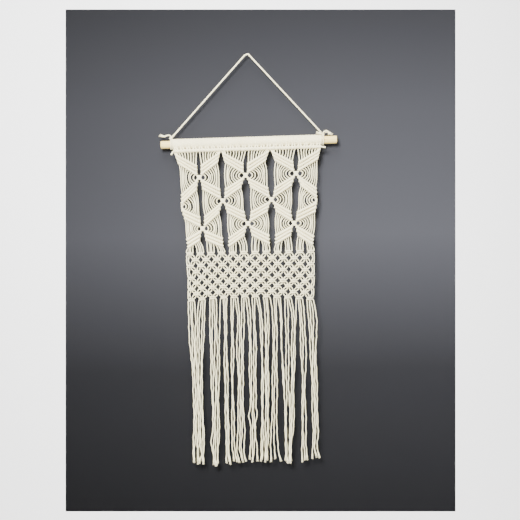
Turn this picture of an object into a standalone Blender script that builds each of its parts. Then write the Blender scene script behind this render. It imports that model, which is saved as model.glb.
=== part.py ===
"""A macrame wall hanging on a wooden dowel, hung from a wall hook.

Forty-eight cotton strands are mounted on a dowel, knotted into a panel of zigzag bars with open
slots between them, gathered in a net of square knots, and left as a fringe. The origin is the
point of the hook that carries the hanging cord. +Z is up and the front faces -Y. Sizes are in
millimetres here and are made metres where a piece is built.
"""
import math

import bmesh
import bpy
from mathutils import Matrix, Vector

MM = 0.001

# Dowel: a 12 inch rod of pine, hung a little higher at its right end.
DOWEL_LENGTH = 300.0
DOWEL_DIAMETER = 13.2
DOWEL_BEVEL = 0.8
DOWEL_CENTRE = Vector((0.5, 0.0, -148.5))
DOWEL_TILT = math.radians(0.785)

# Cords: a strand of the panel is drawn narrower where it is packed against its neighbours.
STRAND_WIDTH = 2.9
STRAND_DEPTH = 3.0
STRAND_GAP = 0.45
PIECE_GAP = 0.35

# Row of lark's head knots round the dowel, one for two strands.
HEADING_LEFT = -129.6
HEADING_RIGHT = 124.6
HEADING_RADIUS = 9.5
HEADING_GROOVE = 0.7
HEADING_KNOTS = 24

# Knotted panel, in a plane at the front of the dowel, where the strands leave it.
PANEL_Y = -9.4
GROUPS = 6
PER_GROUP = 8
TIERS = 4
TOP_BAR_LEFT = -127.4
TOP_BAR_RIGHT = 122.8
TOP_BAR_DROP = 5.9          # from the dowel's axis to the bar's upper edge
TOP_BAR_HEIGHT = 7.6
TOP_BAR_EDGE_DEPTH = 2.4
STUB_TIPS = ((-131.0, -166.2), (130.6, -161.0))     # the top bar's own cord, cut off at both ends
STUB_WIDTH = 3.2
FIRST_BAR_DROP = 1.8        # from the top bar to the highest corners of the zigzag bars
BAR_HEIGHT = 18.5           # upright, over three rows of half hitches
RIDGE_DEPTH = 7.6
VALLEY_DEPTH = 5.2
EDGE_DEPTH = 3.6
SLOT_NARROWING = 0.6        # of a slot's width, where it closes
SIDE_NARROWING = 0.1
EYE_WIDTH = 3.8
CROSSING_REACH = 6.0        # from the middle of a crossing to its two eyes
SIDE_REACH = 4.5
EYE_RISE = 2.2
CROSSING_RISE = 4.3         # and to the slots that end above and below it
SLOT_FOOT = 1.9             # half width of a slot at its lower end
SLOT_HEAD = 1.3             # and at its upper end
FAN_PITCHES = (1.3, 1.28, 1.2, 1.0, 0.85, 0.8, 0.8)         # from the crossing outwards
EVEN_PITCHES = (1.0,) * (PER_GROUP - 1)
FAN_BOWS = (1.3, 2.1, 2.4, 2.2, 1.8, 1.4, 0.9, 0.4)
FAN_STEPS = 3
EYE_STEPS = 2

# The seven upright edges between groups of strands. Below each slot's top the bars part by its
# half width, and neighbouring bars meet at the upper and the lower meeting point.
# columns: x at the top bar, half width there,
#          x and z of the upper meeting point, half width below it,
#          x and z of the lower meeting point, half width below it
EDGES = (
    (-127.3, 7.2, -116.9, -257.1, 5.7, -110.1, -331.8, 0.0),
    (-85.8, 3.4, -84.5, -207.6, 4.2, -80.3, -294.5, 4.2),
    (-46.8, 5.5, -45.2, -248.0, 6.4, -41.2, -330.8, 0.0),
    (-5.2, 3.6, -6.0, -205.3, 7.6, -3.3, -287.2, 5.9),
    (36.3, 7.6, 37.4, -247.2, 6.8, 37.7, -327.6, 0.0),
    (80.4, 5.9, 79.7, -203.7, 7.2, 75.1, -288.1, 5.1),
    (122.8, 4.8, 115.6, -249.3, 3.2, 110.2, -330.2, 0.0),
)

# Net of square knots: columns are half a pitch apart, and knots and gaps take turns in them.
NET_HALF_PITCH = 9.22
NET_COLUMNS = 24
NET_ROWS = 8
NET_TOP = -336.6
NET_ROW_PITCH = 9.09
NET_SIDE_SAG = 0.79         # added to the row pitch at the two sides
NET_GAP_WIDTH = 6.0
NET_GAP_HEIGHT = 7.4
NET_SIDE_GAP_WIDTH = 2.2
NET_SIDE_GAP_HEIGHT = 3.0
NET_HALF_WIDTH = 107.4
NET_SIDE_BULGE = 1.4
NET_KNOT_DEPTH = 7.2
NET_CORD_DEPTH = 4.0

# Fringe: the last row of knots is its backing.
ROOT_KNOTS = 12
ROOT_SHRINK = 0.9
ROOT_HEM = 3.0              # from a root knot's middle down to the notch between two knots
ROOT_DROP = 6.6             # and to where its strands leave
ROOT_PITCH = 4.2
ROOT_OFFSET = 1.0
LAYER_OFFSET = 1.75         # neighbours hang one behind the other, either side of the plane
TIP_LENGTH = 4.0
TIP_WIDTH = 4.8
TIP_UNEVENNESS = 2.5
FRINGE_LEVELS = (-450.0, -501.0, -569.0, -637.0, -668.0)
LEVEL_PITCHES = (3.3, 3.1, 2.8, 2.7, 2.8)

# Bunches that the strands gather in, from the left.
# columns: strands, x of the bunch at each level, x and z of its tips
BUNCHES = (
    (2, -105.0, -104.5, -99.5, -99.5, -101.0, -102.0, -693.0),
    (2, -94.0, -95.0, -94.0, -94.5, -96.0, -96.0, -692.0),
    (2, -87.0, -87.5, -89.0, -89.5, -90.5, -91.0, -691.0),
    (2, -79.5, -82.0, -84.0, -84.0, -85.0, -85.0, -690.0),
    (2, -70.5, -69.5, -69.5, -70.5, -70.5, -68.5, -695.0),
    (4, -57.5, -58.0, -60.5, -60.5, -62.0, -61.5, -697.0),
    (2, -45.5, -46.0, -45.0, -45.5, -48.0, -47.0, -695.0),
    (2, -34.0, -34.0, -35.0, -37.0, -38.0, -36.5, -692.0),
    (4, -19.0, -20.0, -21.0, -22.0, -23.0, -23.0, -691.0),
    (2, -4.0, -3.5, -5.0, -5.0, -8.0, -11.0, -689.0),
    (3, 4.5, 4.5, 4.0, 3.0, 3.0, 3.5, -689.0),
    (2, 13.5, 13.5, 15.0, 14.0, 12.5, 13.0, -691.0),
    (3, 26.0, 24.5, 23.5, 21.5, 20.5, 21.5, -691.0),
    (2, 37.0, 36.5, 34.5, 31.0, 29.5, 30.5, -695.0),
    (1, 44.0, 43.5, 42.0, 39.5, 40.5, 45.0, -686.0),
    (1, 50.0, 51.0, 52.5, 53.0, 51.5, 51.0, -691.0),
    (3, 60.0, 59.0, 58.5, 58.0, 56.5, 56.5, -692.0),
    (1, 68.5, 67.5, 65.5, 62.5, 61.5, 62.0, -691.0),
    (1, 75.5, 72.0, 70.0, 66.0, 65.0, 66.0, -693.0),
    (2, 82.5, 84.0, 84.0, 84.5, 84.0, 83.5, -692.0),
    (1, 91.0, 90.5, 88.5, 89.0, 89.5, 91.0, -688.0),
    (1, 101.0, 99.5, 99.5, 99.5, 99.0, 99.0, -689.0),
    (3, 108.0, 107.5, 106.0, 105.5, 105.0, 107.0, -683.0),
)

# Hanging cord and the ties that hold it on the dowel.
HANGER_DIAMETER = 2.8
HANGER_POINTS = 69
APEX_RADIUS = 5.6           # two diameters, over the hook
TIE_TURN_RADIUS = DOWEL_DIAMETER / 2 + PIECE_GAP + HANGER_DIAMETER / 2
TURN_SEGMENTS = 20
# columns: x, y, z along each cord, from where it leaves the knot on top of the dowel
LEFT_KNOT = Vector((-131.6, 0.0, -139.4))
LEFT_TAIL = ((-132.2, -0.8, -139.0), (-135.4, -1.6, -136.3), (-142.4, -1.8, -135.8), (-150.6, -1.2, -134.2))
RIGHT_KNOT = Vector((126.9, 0.0, -137.0))
RIGHT_TAIL = ((127.8, -1.0, -136.4), (130.6, -2.4, -133.4), (135.8, -2.8, -133.0), (140.6, -2.4, -135.4))
RIGHT_SHORT_TAIL = ((126.4, -1.8, -137.2), (122.8, -3.8, -135.8), (118.8, -3.8, -135.2))
TAIL_POINTS = 9
TAIL_FLARE = (1.15, 1.45, 1.8)          # thickness of a tail's last points, where it frays
KNOT_SIZE = Vector((4.8, 5.2, 4.4))

PINE = ("pine", (0.66, 0.47, 0.27, 1.0), 0.55)
COTTON = ("cotton", (0.80, 0.75, 0.66, 1.0), 0.9)


def material(finish):
    """Return the material of a finish, made the first time it is asked for."""
    name, colour, roughness = finish
    made = bpy.data.materials.get(name)
    if made is None:
        made = bpy.data.materials.new(name)
        made.use_nodes = True
        shader = made.node_tree.nodes["Principled BSDF"]
        shader.inputs["Base Color"].default_value = colour
        shader.inputs["Roughness"].default_value = roughness
        shader.inputs["Metallic"].default_value = 0.0
    return made


def add_object(name, data, collection, finish):
    """Link a new object to a collection and give it its material."""
    piece = bpy.data.objects.new(name, data)
    collection.objects.link(piece)
    data.materials.append(material(finish))
    return piece


def dowel_axis(x):
    """Height of the dowel's axis at x."""
    return DOWEL_CENTRE.z + (x - DOWEL_CENTRE.x) * math.tan(DOWEL_TILT)


# --------------------------------------------------------------------- knotted sheets


class Knotting:
    """A sheet of rows of points in the panel's plane, thickened by Solidify.

    A row runs from left to right. Each point holds its own depth, front to back, so strands stay
    thin and knots and bars stand out on both faces.
    """

    def __init__(self, full_depth):
        self.sheet = bmesh.new()
        self.depths = self.sheet.verts.layers.deform.verify()
        self.full_depth = full_depth

    def row(self, points, depth, offset=0.0):
        """Add a row of (x, z) points that lie offset behind the plane, and join them up."""
        row = []
        for x, z in points:
            point = self.sheet.verts.new(Vector((x, PANEL_Y + offset, z)) * MM)
            point[self.depths][0] = depth / self.full_depth
            row.append(point)
        for left, right in zip(row, row[1:]):
            self.sheet.edges.new((left, right))
        return row

    def edges_of(self, row):
        """The edges that join a row's points."""
        return [self.sheet.edges.get(pair) for pair in zip(row, row[1:])]

    def fill(self, upper, lower):
        """Fill the strip between two rows."""
        bmesh.ops.bridge_loops(self.sheet, edges=self.edges_of(upper) + self.edges_of(lower))

    def strand(self, upper, lower, steps, bow=0.0):
        """Run a strand from one pair of points to another, bowed sideways in the middle."""
        above = upper
        for step in range(1, steps):
            part = step / steps
            shift = bow * 4.0 * part * (1.0 - part) * MM
            between = []
            for top, bottom in zip(upper, lower):
                spot = top.co.lerp(bottom.co, part) / MM
                between.append((spot.x + shift / MM, spot.z))
            rung = self.row(between, STRAND_DEPTH)
            self.fill(above, rung)
            above = rung
        self.fill(above, lower)

    def lump(self, corners, depth):
        """Fill a ring of points with faces that rise to its middle."""
        face = self.sheet.faces.new(corners)
        raised = bmesh.ops.poke(self.sheet, faces=[face])
        for point in raised["verts"]:
            point[self.depths][0] = depth / self.full_depth

    def build(self, name, collection):
        """Turn the sheet into a solid object."""
        bmesh.ops.recalc_face_normals(self.sheet, faces=self.sheet.faces)
        mesh = bpy.data.meshes.new(name)
        self.sheet.to_mesh(mesh)
        self.sheet.free()
        piece = add_object(name, mesh, collection, COTTON)
        piece.vertex_groups.new(name="depth")
        depth = piece.modifiers.new("Depth", "SOLIDIFY")
        depth.thickness = self.full_depth * MM
        depth.offset = 0.0
        depth.vertex_group = "depth"
        return piece


def along(start, finish, part):
    """A point part of the way from start to finish."""
    return tuple(a + (b - a) * part for a, b in zip(start, finish))


# --------------------------------------------------------------------- zigzag bars


def leans_right(group, tier):
    """True for a bar that falls to the right, from the group's left edge to its right edge."""
    return (group + tier) % 2 == 0


def meeting(edge, level):
    """x and z where bars meet on an edge; level 0 is at the top bar."""
    row = EDGES[edge]
    if level == 0:
        return row[0], top_bar_bottom(row[0]) - FIRST_BAR_DROP + EYE_RISE
    first = 2 if level <= 2 else 5
    return row[first], row[first + 1]


def slot_half_width(edge, level):
    """Half width of the slot that opens below a meeting point."""
    return EDGES[edge][{0: 1, 1: 4, 2: 4, 3: 7, 4: 7}[level]]


def is_side(edge):
    """True for the left and right outlines of the panel."""
    return edge in (0, GROUPS)


def top_bar_top(x):
    """Height of the top bar's upper edge."""
    return dowel_axis(x) - TOP_BAR_DROP


def top_bar_bottom(x):
    """Height of the top bar's lower edge."""
    return top_bar_top(x) - TOP_BAR_HEIGHT


def bar_ends(group, tier):
    """Upper and lower corner of a bar's high end and of its low end, in that order."""
    inward = 1.0 if leans_right(group, tier) else -1.0
    high_edge = group if leans_right(group, tier) else group + 1
    low_edge = group + 1 if leans_right(group, tier) else group
    high_x, high_z = meeting(high_edge, tier)
    low_x, low_z = meeting(low_edge, tier + 1)
    high_reach = SIDE_REACH if is_side(high_edge) else CROSSING_REACH
    low_reach = SIDE_REACH if is_side(low_edge) else CROSSING_REACH
    if tier == 0:
        high_reach = FIRST_BAR_DROP
    if tier == TIERS - 1:
        low_reach = CROSSING_REACH / 2
    narrowing = SIDE_NARROWING if is_side(low_edge) else SLOT_NARROWING
    closing = slot_half_width(low_edge, max(tier - 1, 0)) * narrowing
    high_top = (high_x + inward * high_reach, high_z - EYE_RISE)
    high_bottom = (high_x + inward * slot_half_width(high_edge, tier), high_z - EYE_RISE - BAR_HEIGHT)
    low_top = (low_x - inward * closing, low_z + EYE_RISE + BAR_HEIGHT)
    low_bottom = (low_x - inward * low_reach, low_z + EYE_RISE)
    return high_top, high_bottom, low_top, low_bottom


def strand_spots(tight, open_end, eye, pitches):
    """Where eight strands meet a bar's edge: a pair of points each, from the tight end."""
    length = abs(open_end[0] - tight[0])
    closest = min(pitches) / sum(pitches)
    width = min(STRAND_WIDTH, (closest * (length - eye) - STRAND_GAP) / (1.0 + closest))
    unit = (length - eye - width) / sum(pitches)
    spots = []
    for strand in range(PER_GROUP):
        start = eye + unit * sum(pitches[:strand])
        ends = (start / length, (start + width) / length)
        spots.append([along(tight, open_end, part) for part in ends])
    return spots


def end_points(group, tier, high_top, high_bottom, low_top, low_bottom):
    """The ends of a bar's five inner lines, which come to a point against the crossings."""
    high_side = [along(high_top, high_bottom, line / 6) for line in range(1, 6)]
    low_side = [along(low_top, low_bottom, line / 6) for line in range(1, 6)]
    inward = 1.0 if leans_right(group, tier) else -1.0
    high_edge = group if leans_right(group, tier) else group + 1
    low_edge = 2 * group + 1 - high_edge
    if tier > 0:
        x, z = meeting(high_edge, tier)
        corner = (x + inward * (0.0 if is_side(high_edge) else SLOT_HEAD), z - CROSSING_RISE)
        high_side = [along(corner, high_bottom, line / 5) for line in range(5)]
    if tier < TIERS - 1:
        x, z = meeting(low_edge, tier + 1)
        corner = (x - inward * (0.0 if is_side(low_edge) else SLOT_FOOT), z + CROSSING_RISE)
        low_side = [along(low_top, corner, line / 5) for line in range(1, 6)]
    return zip(high_side, low_side)


def add_bar(knotting, group, tier):
    """Add one zigzag bar: three ridges, with a pair of points for each strand on both edges."""
    high_top, high_bottom, low_top, low_bottom = corners = bar_ends(group, tier)
    first, last = tier == 0, tier == TIERS - 1
    upper_spots = strand_spots(high_top, low_top, STRAND_GAP if first else EYE_WIDTH,
                               EVEN_PITCHES if first else FAN_PITCHES)
    lower_spots = strand_spots(low_bottom, high_bottom, STRAND_GAP if last else EYE_WIDTH,
                               EVEN_PITCHES if last else FAN_PITCHES)
    upper = [high_top] + [point for pair in upper_spots for point in pair]
    lower = [low_bottom] + [point for pair in lower_spots for point in pair]
    rows = [knotting.row(sorted(upper), EDGE_DEPTH)]
    for line, ends in enumerate(end_points(group, tier, *corners)):
        rows.append(knotting.row(sorted(ends), VALLEY_DEPTH if line % 2 else RIDGE_DEPTH))
    rows.append(knotting.row(sorted(lower), EDGE_DEPTH))
    for above, below in zip(rows, rows[1:]):
        knotting.fill(above, below)
    return rows


def strand_pairs(row, tight_left):
    """The pairs of points where strands meet a bar's edge, from the tight end outwards."""
    points = row if tight_left else row[::-1]
    pairs = [points[index:index + 2] for index in range(1, len(points), 2)]
    return [pair if tight_left else pair[::-1] for pair in pairs]


def add_top_bar(knotting):
    """Add the horizontal bar that all strands hang from, with its cord's two cut ends."""
    pitch = (TOP_BAR_RIGHT - TOP_BAR_LEFT) / (GROUPS * PER_GROUP)
    lower = []
    for strand in range(GROUPS * PER_GROUP):
        middle = TOP_BAR_LEFT + (strand + 0.5) * pitch
        for side in (-0.5, 0.5):
            x = middle + side * STRAND_WIDTH
            lower.append((x, top_bar_bottom(x)))
    left, right = lower[0][0], lower[-1][0]
    upper = [(x, top_bar_top(x)) for x in (left, right)]
    ridge = [(x, top_bar_top(x) - TOP_BAR_HEIGHT / 2) for x in (left, right)]
    rows = [knotting.row(upper, TOP_BAR_EDGE_DEPTH), knotting.row(ridge, RIDGE_DEPTH),
            knotting.row(lower, EDGE_DEPTH)]
    knotting.fill(rows[0], rows[1])
    knotting.fill(rows[1], rows[2])
    for end, (x, z) in zip((0, -1), STUB_TIPS):
        tip = [(x, z + STUB_WIDTH), (x, z)]
        knotting.fill([rows[1][end], rows[2][end]], knotting.row(tip, STRAND_DEPTH))
    return [rows[2][index:index + 2] for index in range(0, len(rows[2]), 2)]


def add_crossing(knotting, bars, edge, level):
    """Join the bars that meet on an edge: four at a crossing, two at the panel's side."""
    ring = []
    if edge > 0:
        above, below = bars[edge - 1, level - 1], bars[edge - 1, level]
        ring += [above[5][-1], above[6][-1], below[0][-1], below[1][-1]]
    if edge < GROUPS:
        above, below = bars[edge, level - 1], bars[edge, level]
        ring += [below[1][0], below[0][0], above[6][0], above[5][0]]
    knotting.lump(ring, RIDGE_DEPTH)


def add_knotted_panel(collection):
    """Build the panel: the top bar, 24 zigzag bars and the strands that run between them."""
    knotting = Knotting(RIDGE_DEPTH)
    bars = {}
    for group in range(GROUPS):
        for tier in range(TIERS):
            bars[group, tier] = add_bar(knotting, group, tier)
    top_pairs = add_top_bar(knotting)
    for group in range(GROUPS):
        mounted = top_pairs[group * PER_GROUP:(group + 1) * PER_GROUP]
        tight_left = leans_right(group, 0)
        landed = strand_pairs(bars[group, 0][0], tight_left)
        for upper, lower in zip(mounted if tight_left else mounted[::-1], landed):
            knotting.strand(upper, lower, 1)
        for tier in range(TIERS - 1):
            tight_left = not leans_right(group, tier)
            leaving = strand_pairs(bars[group, tier][6], tight_left)
            landed = strand_pairs(bars[group, tier + 1][0], tight_left)
            for index, (upper, lower) in enumerate(zip(leaving, landed)):
                bow = FAN_BOWS[index] if tight_left else -FAN_BOWS[index]
                knotting.strand(upper, lower, FAN_STEPS if index else EYE_STEPS, bow)
        tight_left = not leans_right(group, TIERS - 1)
        leaving = strand_pairs(bars[group, TIERS - 1][6], tight_left)
        for upper, spot in zip(leaving if tight_left else leaving[::-1], net_landings(group)):
            knotting.strand(upper, knotting.row(spot, STRAND_DEPTH), 1)
    for level in range(1, TIERS):
        for edge in range(level % 2, GROUPS + 1, 2):
            add_crossing(knotting, bars, edge, level)
    return knotting.build("knotted_panel", collection)


# --------------------------------------------------------------------- net of square knots


def net_x(column):
    """x of a column of the net."""
    return (column - NET_COLUMNS / 2) * NET_HALF_PITCH


def net_z(column, row):
    """Height of a row of the net, which hangs lower at its sides."""
    side = (column - NET_COLUMNS / 2) / (NET_COLUMNS / 2)
    return NET_TOP - row * (NET_ROW_PITCH + NET_SIDE_SAG * side * side)


def gap_tip(column, row, tip):
    """The left, right, top or bottom tip of the gap at a place in the net."""
    width, height = NET_GAP_WIDTH / 2, NET_GAP_HEIGHT / 2
    if row > 0 and column in (1, NET_COLUMNS - 1):
        width, height = NET_SIDE_GAP_WIDTH / 2, NET_SIDE_GAP_HEIGHT / 2
    across, up = {"left": (-width, 0), "right": (width, 0), "top": (0, height), "bottom": (0, -height)}[tip]
    x = net_x(column) + across
    bulge = NET_SIDE_BULGE if column in (-1, NET_COLUMNS + 1) else 0.0
    limit = NET_HALF_WIDTH + bulge
    return max(-limit, min(limit, x)), net_z(column, row) + up


def net_landings(group):
    """Where a group's strands end, just above the first knots of the net."""
    spots = []
    half_width = NET_HALF_PITCH - NET_GAP_WIDTH / 2
    for column in (4 * group + 1, 4 * group + 3):
        rise = gap_tip(column, -1, "bottom")[1] - net_z(column, 0)
        for place in (-1.5, -0.5, 0.5, 1.5):
            middle = net_x(column) + place * half_width / 2
            pair = []
            for side in (-0.5, 0.5):
                x = middle + side * (half_width / 2 - STRAND_GAP)
                slope = 1.0 - abs(x - net_x(column)) / half_width
                pair.append((x, net_z(column, 0) + rise * max(slope, 0.0) + 2 * PIECE_GAP))
            spots.append(pair)
    return spots


def add_square_knot_net(collection):
    """Build the net: raised square knots in turns with open gaps, joined corner to corner."""
    knotting = Knotting(NET_KNOT_DEPTH)
    tips = {}

    def tip(column, row, side):
        key = (column, row, side)
        if key not in tips:
            tips[key] = knotting.row([gap_tip(*key)], NET_CORD_DEPTH)[0]
        return tips[key]

    def knot_sides(column, row):
        return (tip(column - 1, row, "right"), tip(column, row - 1, "bottom"),
                tip(column + 1, row, "left"), tip(column, row + 1, "top"))

    for row in range(NET_ROWS):
        for column in range(1 - row % 2, NET_COLUMNS + 1, 2):
            left, above, right, below = knot_sides(column, row)
            knotting.lump((left, above, right, below), NET_KNOT_DEPTH)
            for step, side in ((-1, left), (1, right)):
                beyond = column + step
                if not 0 <= beyond <= NET_COLUMNS:
                    continue
                if row + 1 < NET_ROWS:
                    far = knot_sides(beyond, row + 1)
                    corners = (far[1], far[2] if step < 0 else far[0])
                else:
                    corners = root_side(knotting, beyond, step)
                knotting.sheet.faces.new((side, below, corners[1], corners[0]))
    return knotting.build("square_knot_net", collection)


def root_side(knotting, column, step):
    """Upper corner and near side corner of a root knot, a gap away from the fringe."""
    x, z = net_x(column), net_z(column, NET_ROWS)
    half_width = NET_HALF_PITCH - NET_GAP_WIDTH / 2
    rise = NET_ROW_PITCH - NET_GAP_HEIGHT / 2
    top = knotting.row([(x + step * -0.4, z + rise)], NET_CORD_DEPTH)[0]
    side = knotting.row([(x - step * half_width, z + 0.4)], NET_CORD_DEPTH)[0]
    return top, side


# --------------------------------------------------------------------- fringe


def fringe_routes():
    """For each strand, its (x, z) points from the first level to its tip."""
    routes = []
    for bunch in BUNCHES:
        count, places, tip = bunch[0], bunch[1:6], bunch[6:]
        for member in range(count):
            place = member - (count - 1) / 2
            points = []
            for x, z, pitch in zip(places, FRINGE_LEVELS, LEVEL_PITCHES):
                points.append((x + place * pitch, z))
            unevenness = TIP_UNEVENNESS * math.sin(2.4 * len(routes))
            end = (tip[0] + place * LEVEL_PITCHES[-1] * 1.15, tip[1] + unevenness)
            points.append((end[0], end[1] + TIP_LENGTH))
            points.append(end)
            routes.append(points)
    return routes


def add_fringe(collection):
    """Build the fringe: the last row of knots as its backing, and 48 strands below it."""
    knotting = Knotting(NET_KNOT_DEPTH)
    half_width = (NET_HALF_PITCH - NET_GAP_WIDTH / 2) * ROOT_SHRINK
    rise = (NET_ROW_PITCH - NET_GAP_HEIGHT / 2) * ROOT_SHRINK
    bottom = []
    for knot in range(ROOT_KNOTS):
        column = 2 * knot + 1
        x, z = net_x(column), net_z(column, NET_ROWS)
        hem = []
        for place in (-1.5, -0.5, 0.5, 1.5):
            for side in (-0.5, 0.5):
                hem.append((x + place * ROOT_PITCH + side * STRAND_WIDTH, z - ROOT_DROP))
        shoulders = knotting.row([(x - half_width, z), (x, z + rise), (x + half_width, z)], NET_CORD_DEPTH)
        hem = knotting.row(hem, STRAND_DEPTH)
        knotting.lump(shoulders + hem[::-1], NET_KNOT_DEPTH)
        if knot > 0:
            between = (net_x(column - 1), net_z(column - 1, NET_ROWS) - ROOT_HEM)
            notch = knotting.row([between], NET_CORD_DEPTH)[0]
            for near, far in ((last_shoulder, bottom[-1]), (bottom[-1], hem[0]), (hem[0], shoulders[0])):
                knotting.sheet.faces.new((notch, near, far))
        last_shoulder = shoulders[-1]
        bottom += hem
    for number, route in enumerate(fringe_routes()):
        layer = -1.0 if number % 2 else 1.0
        above = bottom[2 * number:2 * number + 2]
        for point in above:
            point.co.y += layer * ROOT_OFFSET * MM
        for step, (x, z) in enumerate(route):
            width = TIP_WIDTH if step == len(route) - 1 else STRAND_WIDTH
            spots = [(x - width / 2, z), (x + width / 2, z)]
            rung = knotting.row(spots, STRAND_DEPTH, layer * LAYER_OFFSET)
            knotting.fill(above, rung)
            above = rung
    return knotting.build("fringe", collection)


# --------------------------------------------------------------------- dowel and its knots


def add_dowel(collection):
    """Build the rod with its two eased ends."""
    shape = bmesh.new()
    bmesh.ops.create_cone(shape, cap_ends=True, segments=32, radius1=DOWEL_DIAMETER / 2 * MM,
                          radius2=DOWEL_DIAMETER / 2 * MM, depth=DOWEL_LENGTH * MM)
    mesh = bpy.data.meshes.new("dowel")
    shape.to_mesh(mesh)
    shape.free()
    mesh.shade_smooth()
    mesh.set_sharp_from_angle(angle=math.radians(40))
    rod = add_object("dowel", mesh, collection, PINE)
    rod.location = DOWEL_CENTRE * MM
    rod.rotation_euler = (0.0, math.pi / 2 - DOWEL_TILT, 0.0)
    ease = rod.modifiers.new("Eased ends", "BEVEL")
    ease.width = DOWEL_BEVEL * MM
    ease.segments = 2
    ease.limit_method = "ANGLE"
    return rod


def add_heading(collection):
    """Build the row of lark's head knots as a ridged sleeve round the dowel."""
    length = HEADING_RIGHT - HEADING_LEFT
    inner = DOWEL_DIAMETER / 2 + PIECE_GAP
    profile = [(inner, 0.0)]
    for station in range(2 * HEADING_KNOTS + 1):
        radius = HEADING_RADIUS if station % 2 else HEADING_RADIUS - HEADING_GROOVE
        profile.append((radius, length * station / (2 * HEADING_KNOTS)))
    profile.append((inner, length))
    shape = bmesh.new()
    points = [shape.verts.new((radius * MM, 0.0, height * MM)) for radius, height in profile]
    for first, second in zip(points, points[1:] + points[:1]):
        shape.edges.new((first, second))
    mesh = bpy.data.meshes.new("larks_head_row")
    shape.to_mesh(mesh)
    shape.free()
    sleeve = add_object("larks_head_row", mesh, collection, COTTON)
    sleeve.location = Vector((HEADING_LEFT, 0.0, dowel_axis(HEADING_LEFT))) * MM
    sleeve.rotation_euler = (0.0, math.pi / 2 - DOWEL_TILT, 0.0)
    turn = sleeve.modifiers.new("Round the dowel", "SCREW")
    turn.axis = "Z"
    turn.steps = 12
    turn.render_steps = 12
    turn.use_merge_vertices = True
    turn.merge_threshold = 0.00002
    turn.use_normal_calculate = True
    return sleeve


# --------------------------------------------------------------------- hanging cord


def smooth_points(route, count):
    """Points spread evenly along a smooth curve through a route."""
    spots = [Vector(point) for point in route]
    spots = [2 * spots[0] - spots[1]] + spots + [2 * spots[-1] - spots[-2]]
    dense = []
    for before, start, end, after in zip(spots, spots[1:], spots[2:], spots[3:]):
        for part in (step / 16 for step in range(16)):
            dense.append(0.5 * ((2 * start) + (end - before) * part
                                + (2 * before - 5 * start + 4 * end - after) * part ** 2
                                + (3 * start - before - 3 * end + after) * part ** 3))
    dense.append(spots[-2])
    lengths = [0.0]
    for first, second in zip(dense, dense[1:]):
        lengths.append(lengths[-1] + (second - first).length)
    points, index = [], 0
    for step in range(count):
        target = lengths[-1] * step / (count - 1)
        while index < len(dense) - 2 and lengths[index + 1] < target:
            index += 1
        part = (target - lengths[index]) / (lengths[index + 1] - lengths[index])
        points.append(dense[index].lerp(dense[index + 1], part))
    return points


def tube_object(name, points, collection, closed=False, flare=()):
    """A cord as a curve with a round section through points in millimetres."""
    curve = bpy.data.curves.new(name, "CURVE")
    curve.dimensions = "3D"
    curve.bevel_depth = HANGER_DIAMETER / 2 * MM
    curve.bevel_resolution = 2
    curve.use_fill_caps = not closed
    spline = curve.splines.new("POLY")
    spline.points.add(len(points) - 1)
    spline.use_cyclic_u = closed
    for target, point in zip(spline.points, points):
        target.co = (*(point * MM), 1.0)
    for target, thickness in zip(spline.points[len(points) - len(flare):], flare):
        target.radius = thickness
    return add_object(name, curve, collection, COTTON)


def made_solid(tube):
    """Replace a curve object with its mesh, with welded caps."""
    collection = tube.users_collection[0]
    mesh = bpy.data.meshes.new_from_object(tube.evaluated_get(bpy.context.evaluated_depsgraph_get()))
    shape = bmesh.new()
    shape.from_mesh(mesh)
    bmesh.ops.remove_doubles(shape, verts=shape.verts, dist=0.00002)
    bmesh.ops.recalc_face_normals(shape, faces=shape.faces)
    shape.to_mesh(mesh)
    shape.free()
    name, placing = tube.name, tube.matrix_world.copy()
    bpy.data.objects.remove(tube)
    solid = bpy.data.objects.new(name, mesh)
    solid.matrix_world = placing
    collection.objects.link(solid)
    return solid


def hanger_end(knot):
    """Where a leg of the hanging cord stops, a gap above the knot that holds it."""
    towards = (Vector((0.0, 0.0, HANGER_DIAMETER / 2)) - knot).normalized()
    return knot + towards * (KNOT_SIZE.z / 2 + 1.1)


def add_hanging_cord(collection):
    """Build the cord that runs from tie to tie over the hook."""
    apex = Vector((0.0, 0.0, HANGER_DIAMETER / 2))
    left, right = hanger_end(LEFT_KNOT), hanger_end(RIGHT_KNOT)
    sharp = apex + Vector((0.0, 0.0, APEX_RADIUS * 0.46))
    route = []
    for end, sign in ((left, 1.0), (right, -1.0)):
        toward = (end - sharp).normalized()
        tangent = sharp + toward * APEX_RADIUS * 1.08
        leg = [end.lerp(tangent, part) for part in (0.0, 0.25, 0.5, 0.75, 1.0)]
        bend = [tangent.lerp(apex, 0.42) + Vector((0.0, 0.0, 0.75))]
        route.append(leg + bend)
    points = smooth_points(route[0] + [apex] + route[1][::-1], HANGER_POINTS)
    points[HANGER_POINTS // 2] = apex
    return tube_object("hanging_cord", points, collection)


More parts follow.
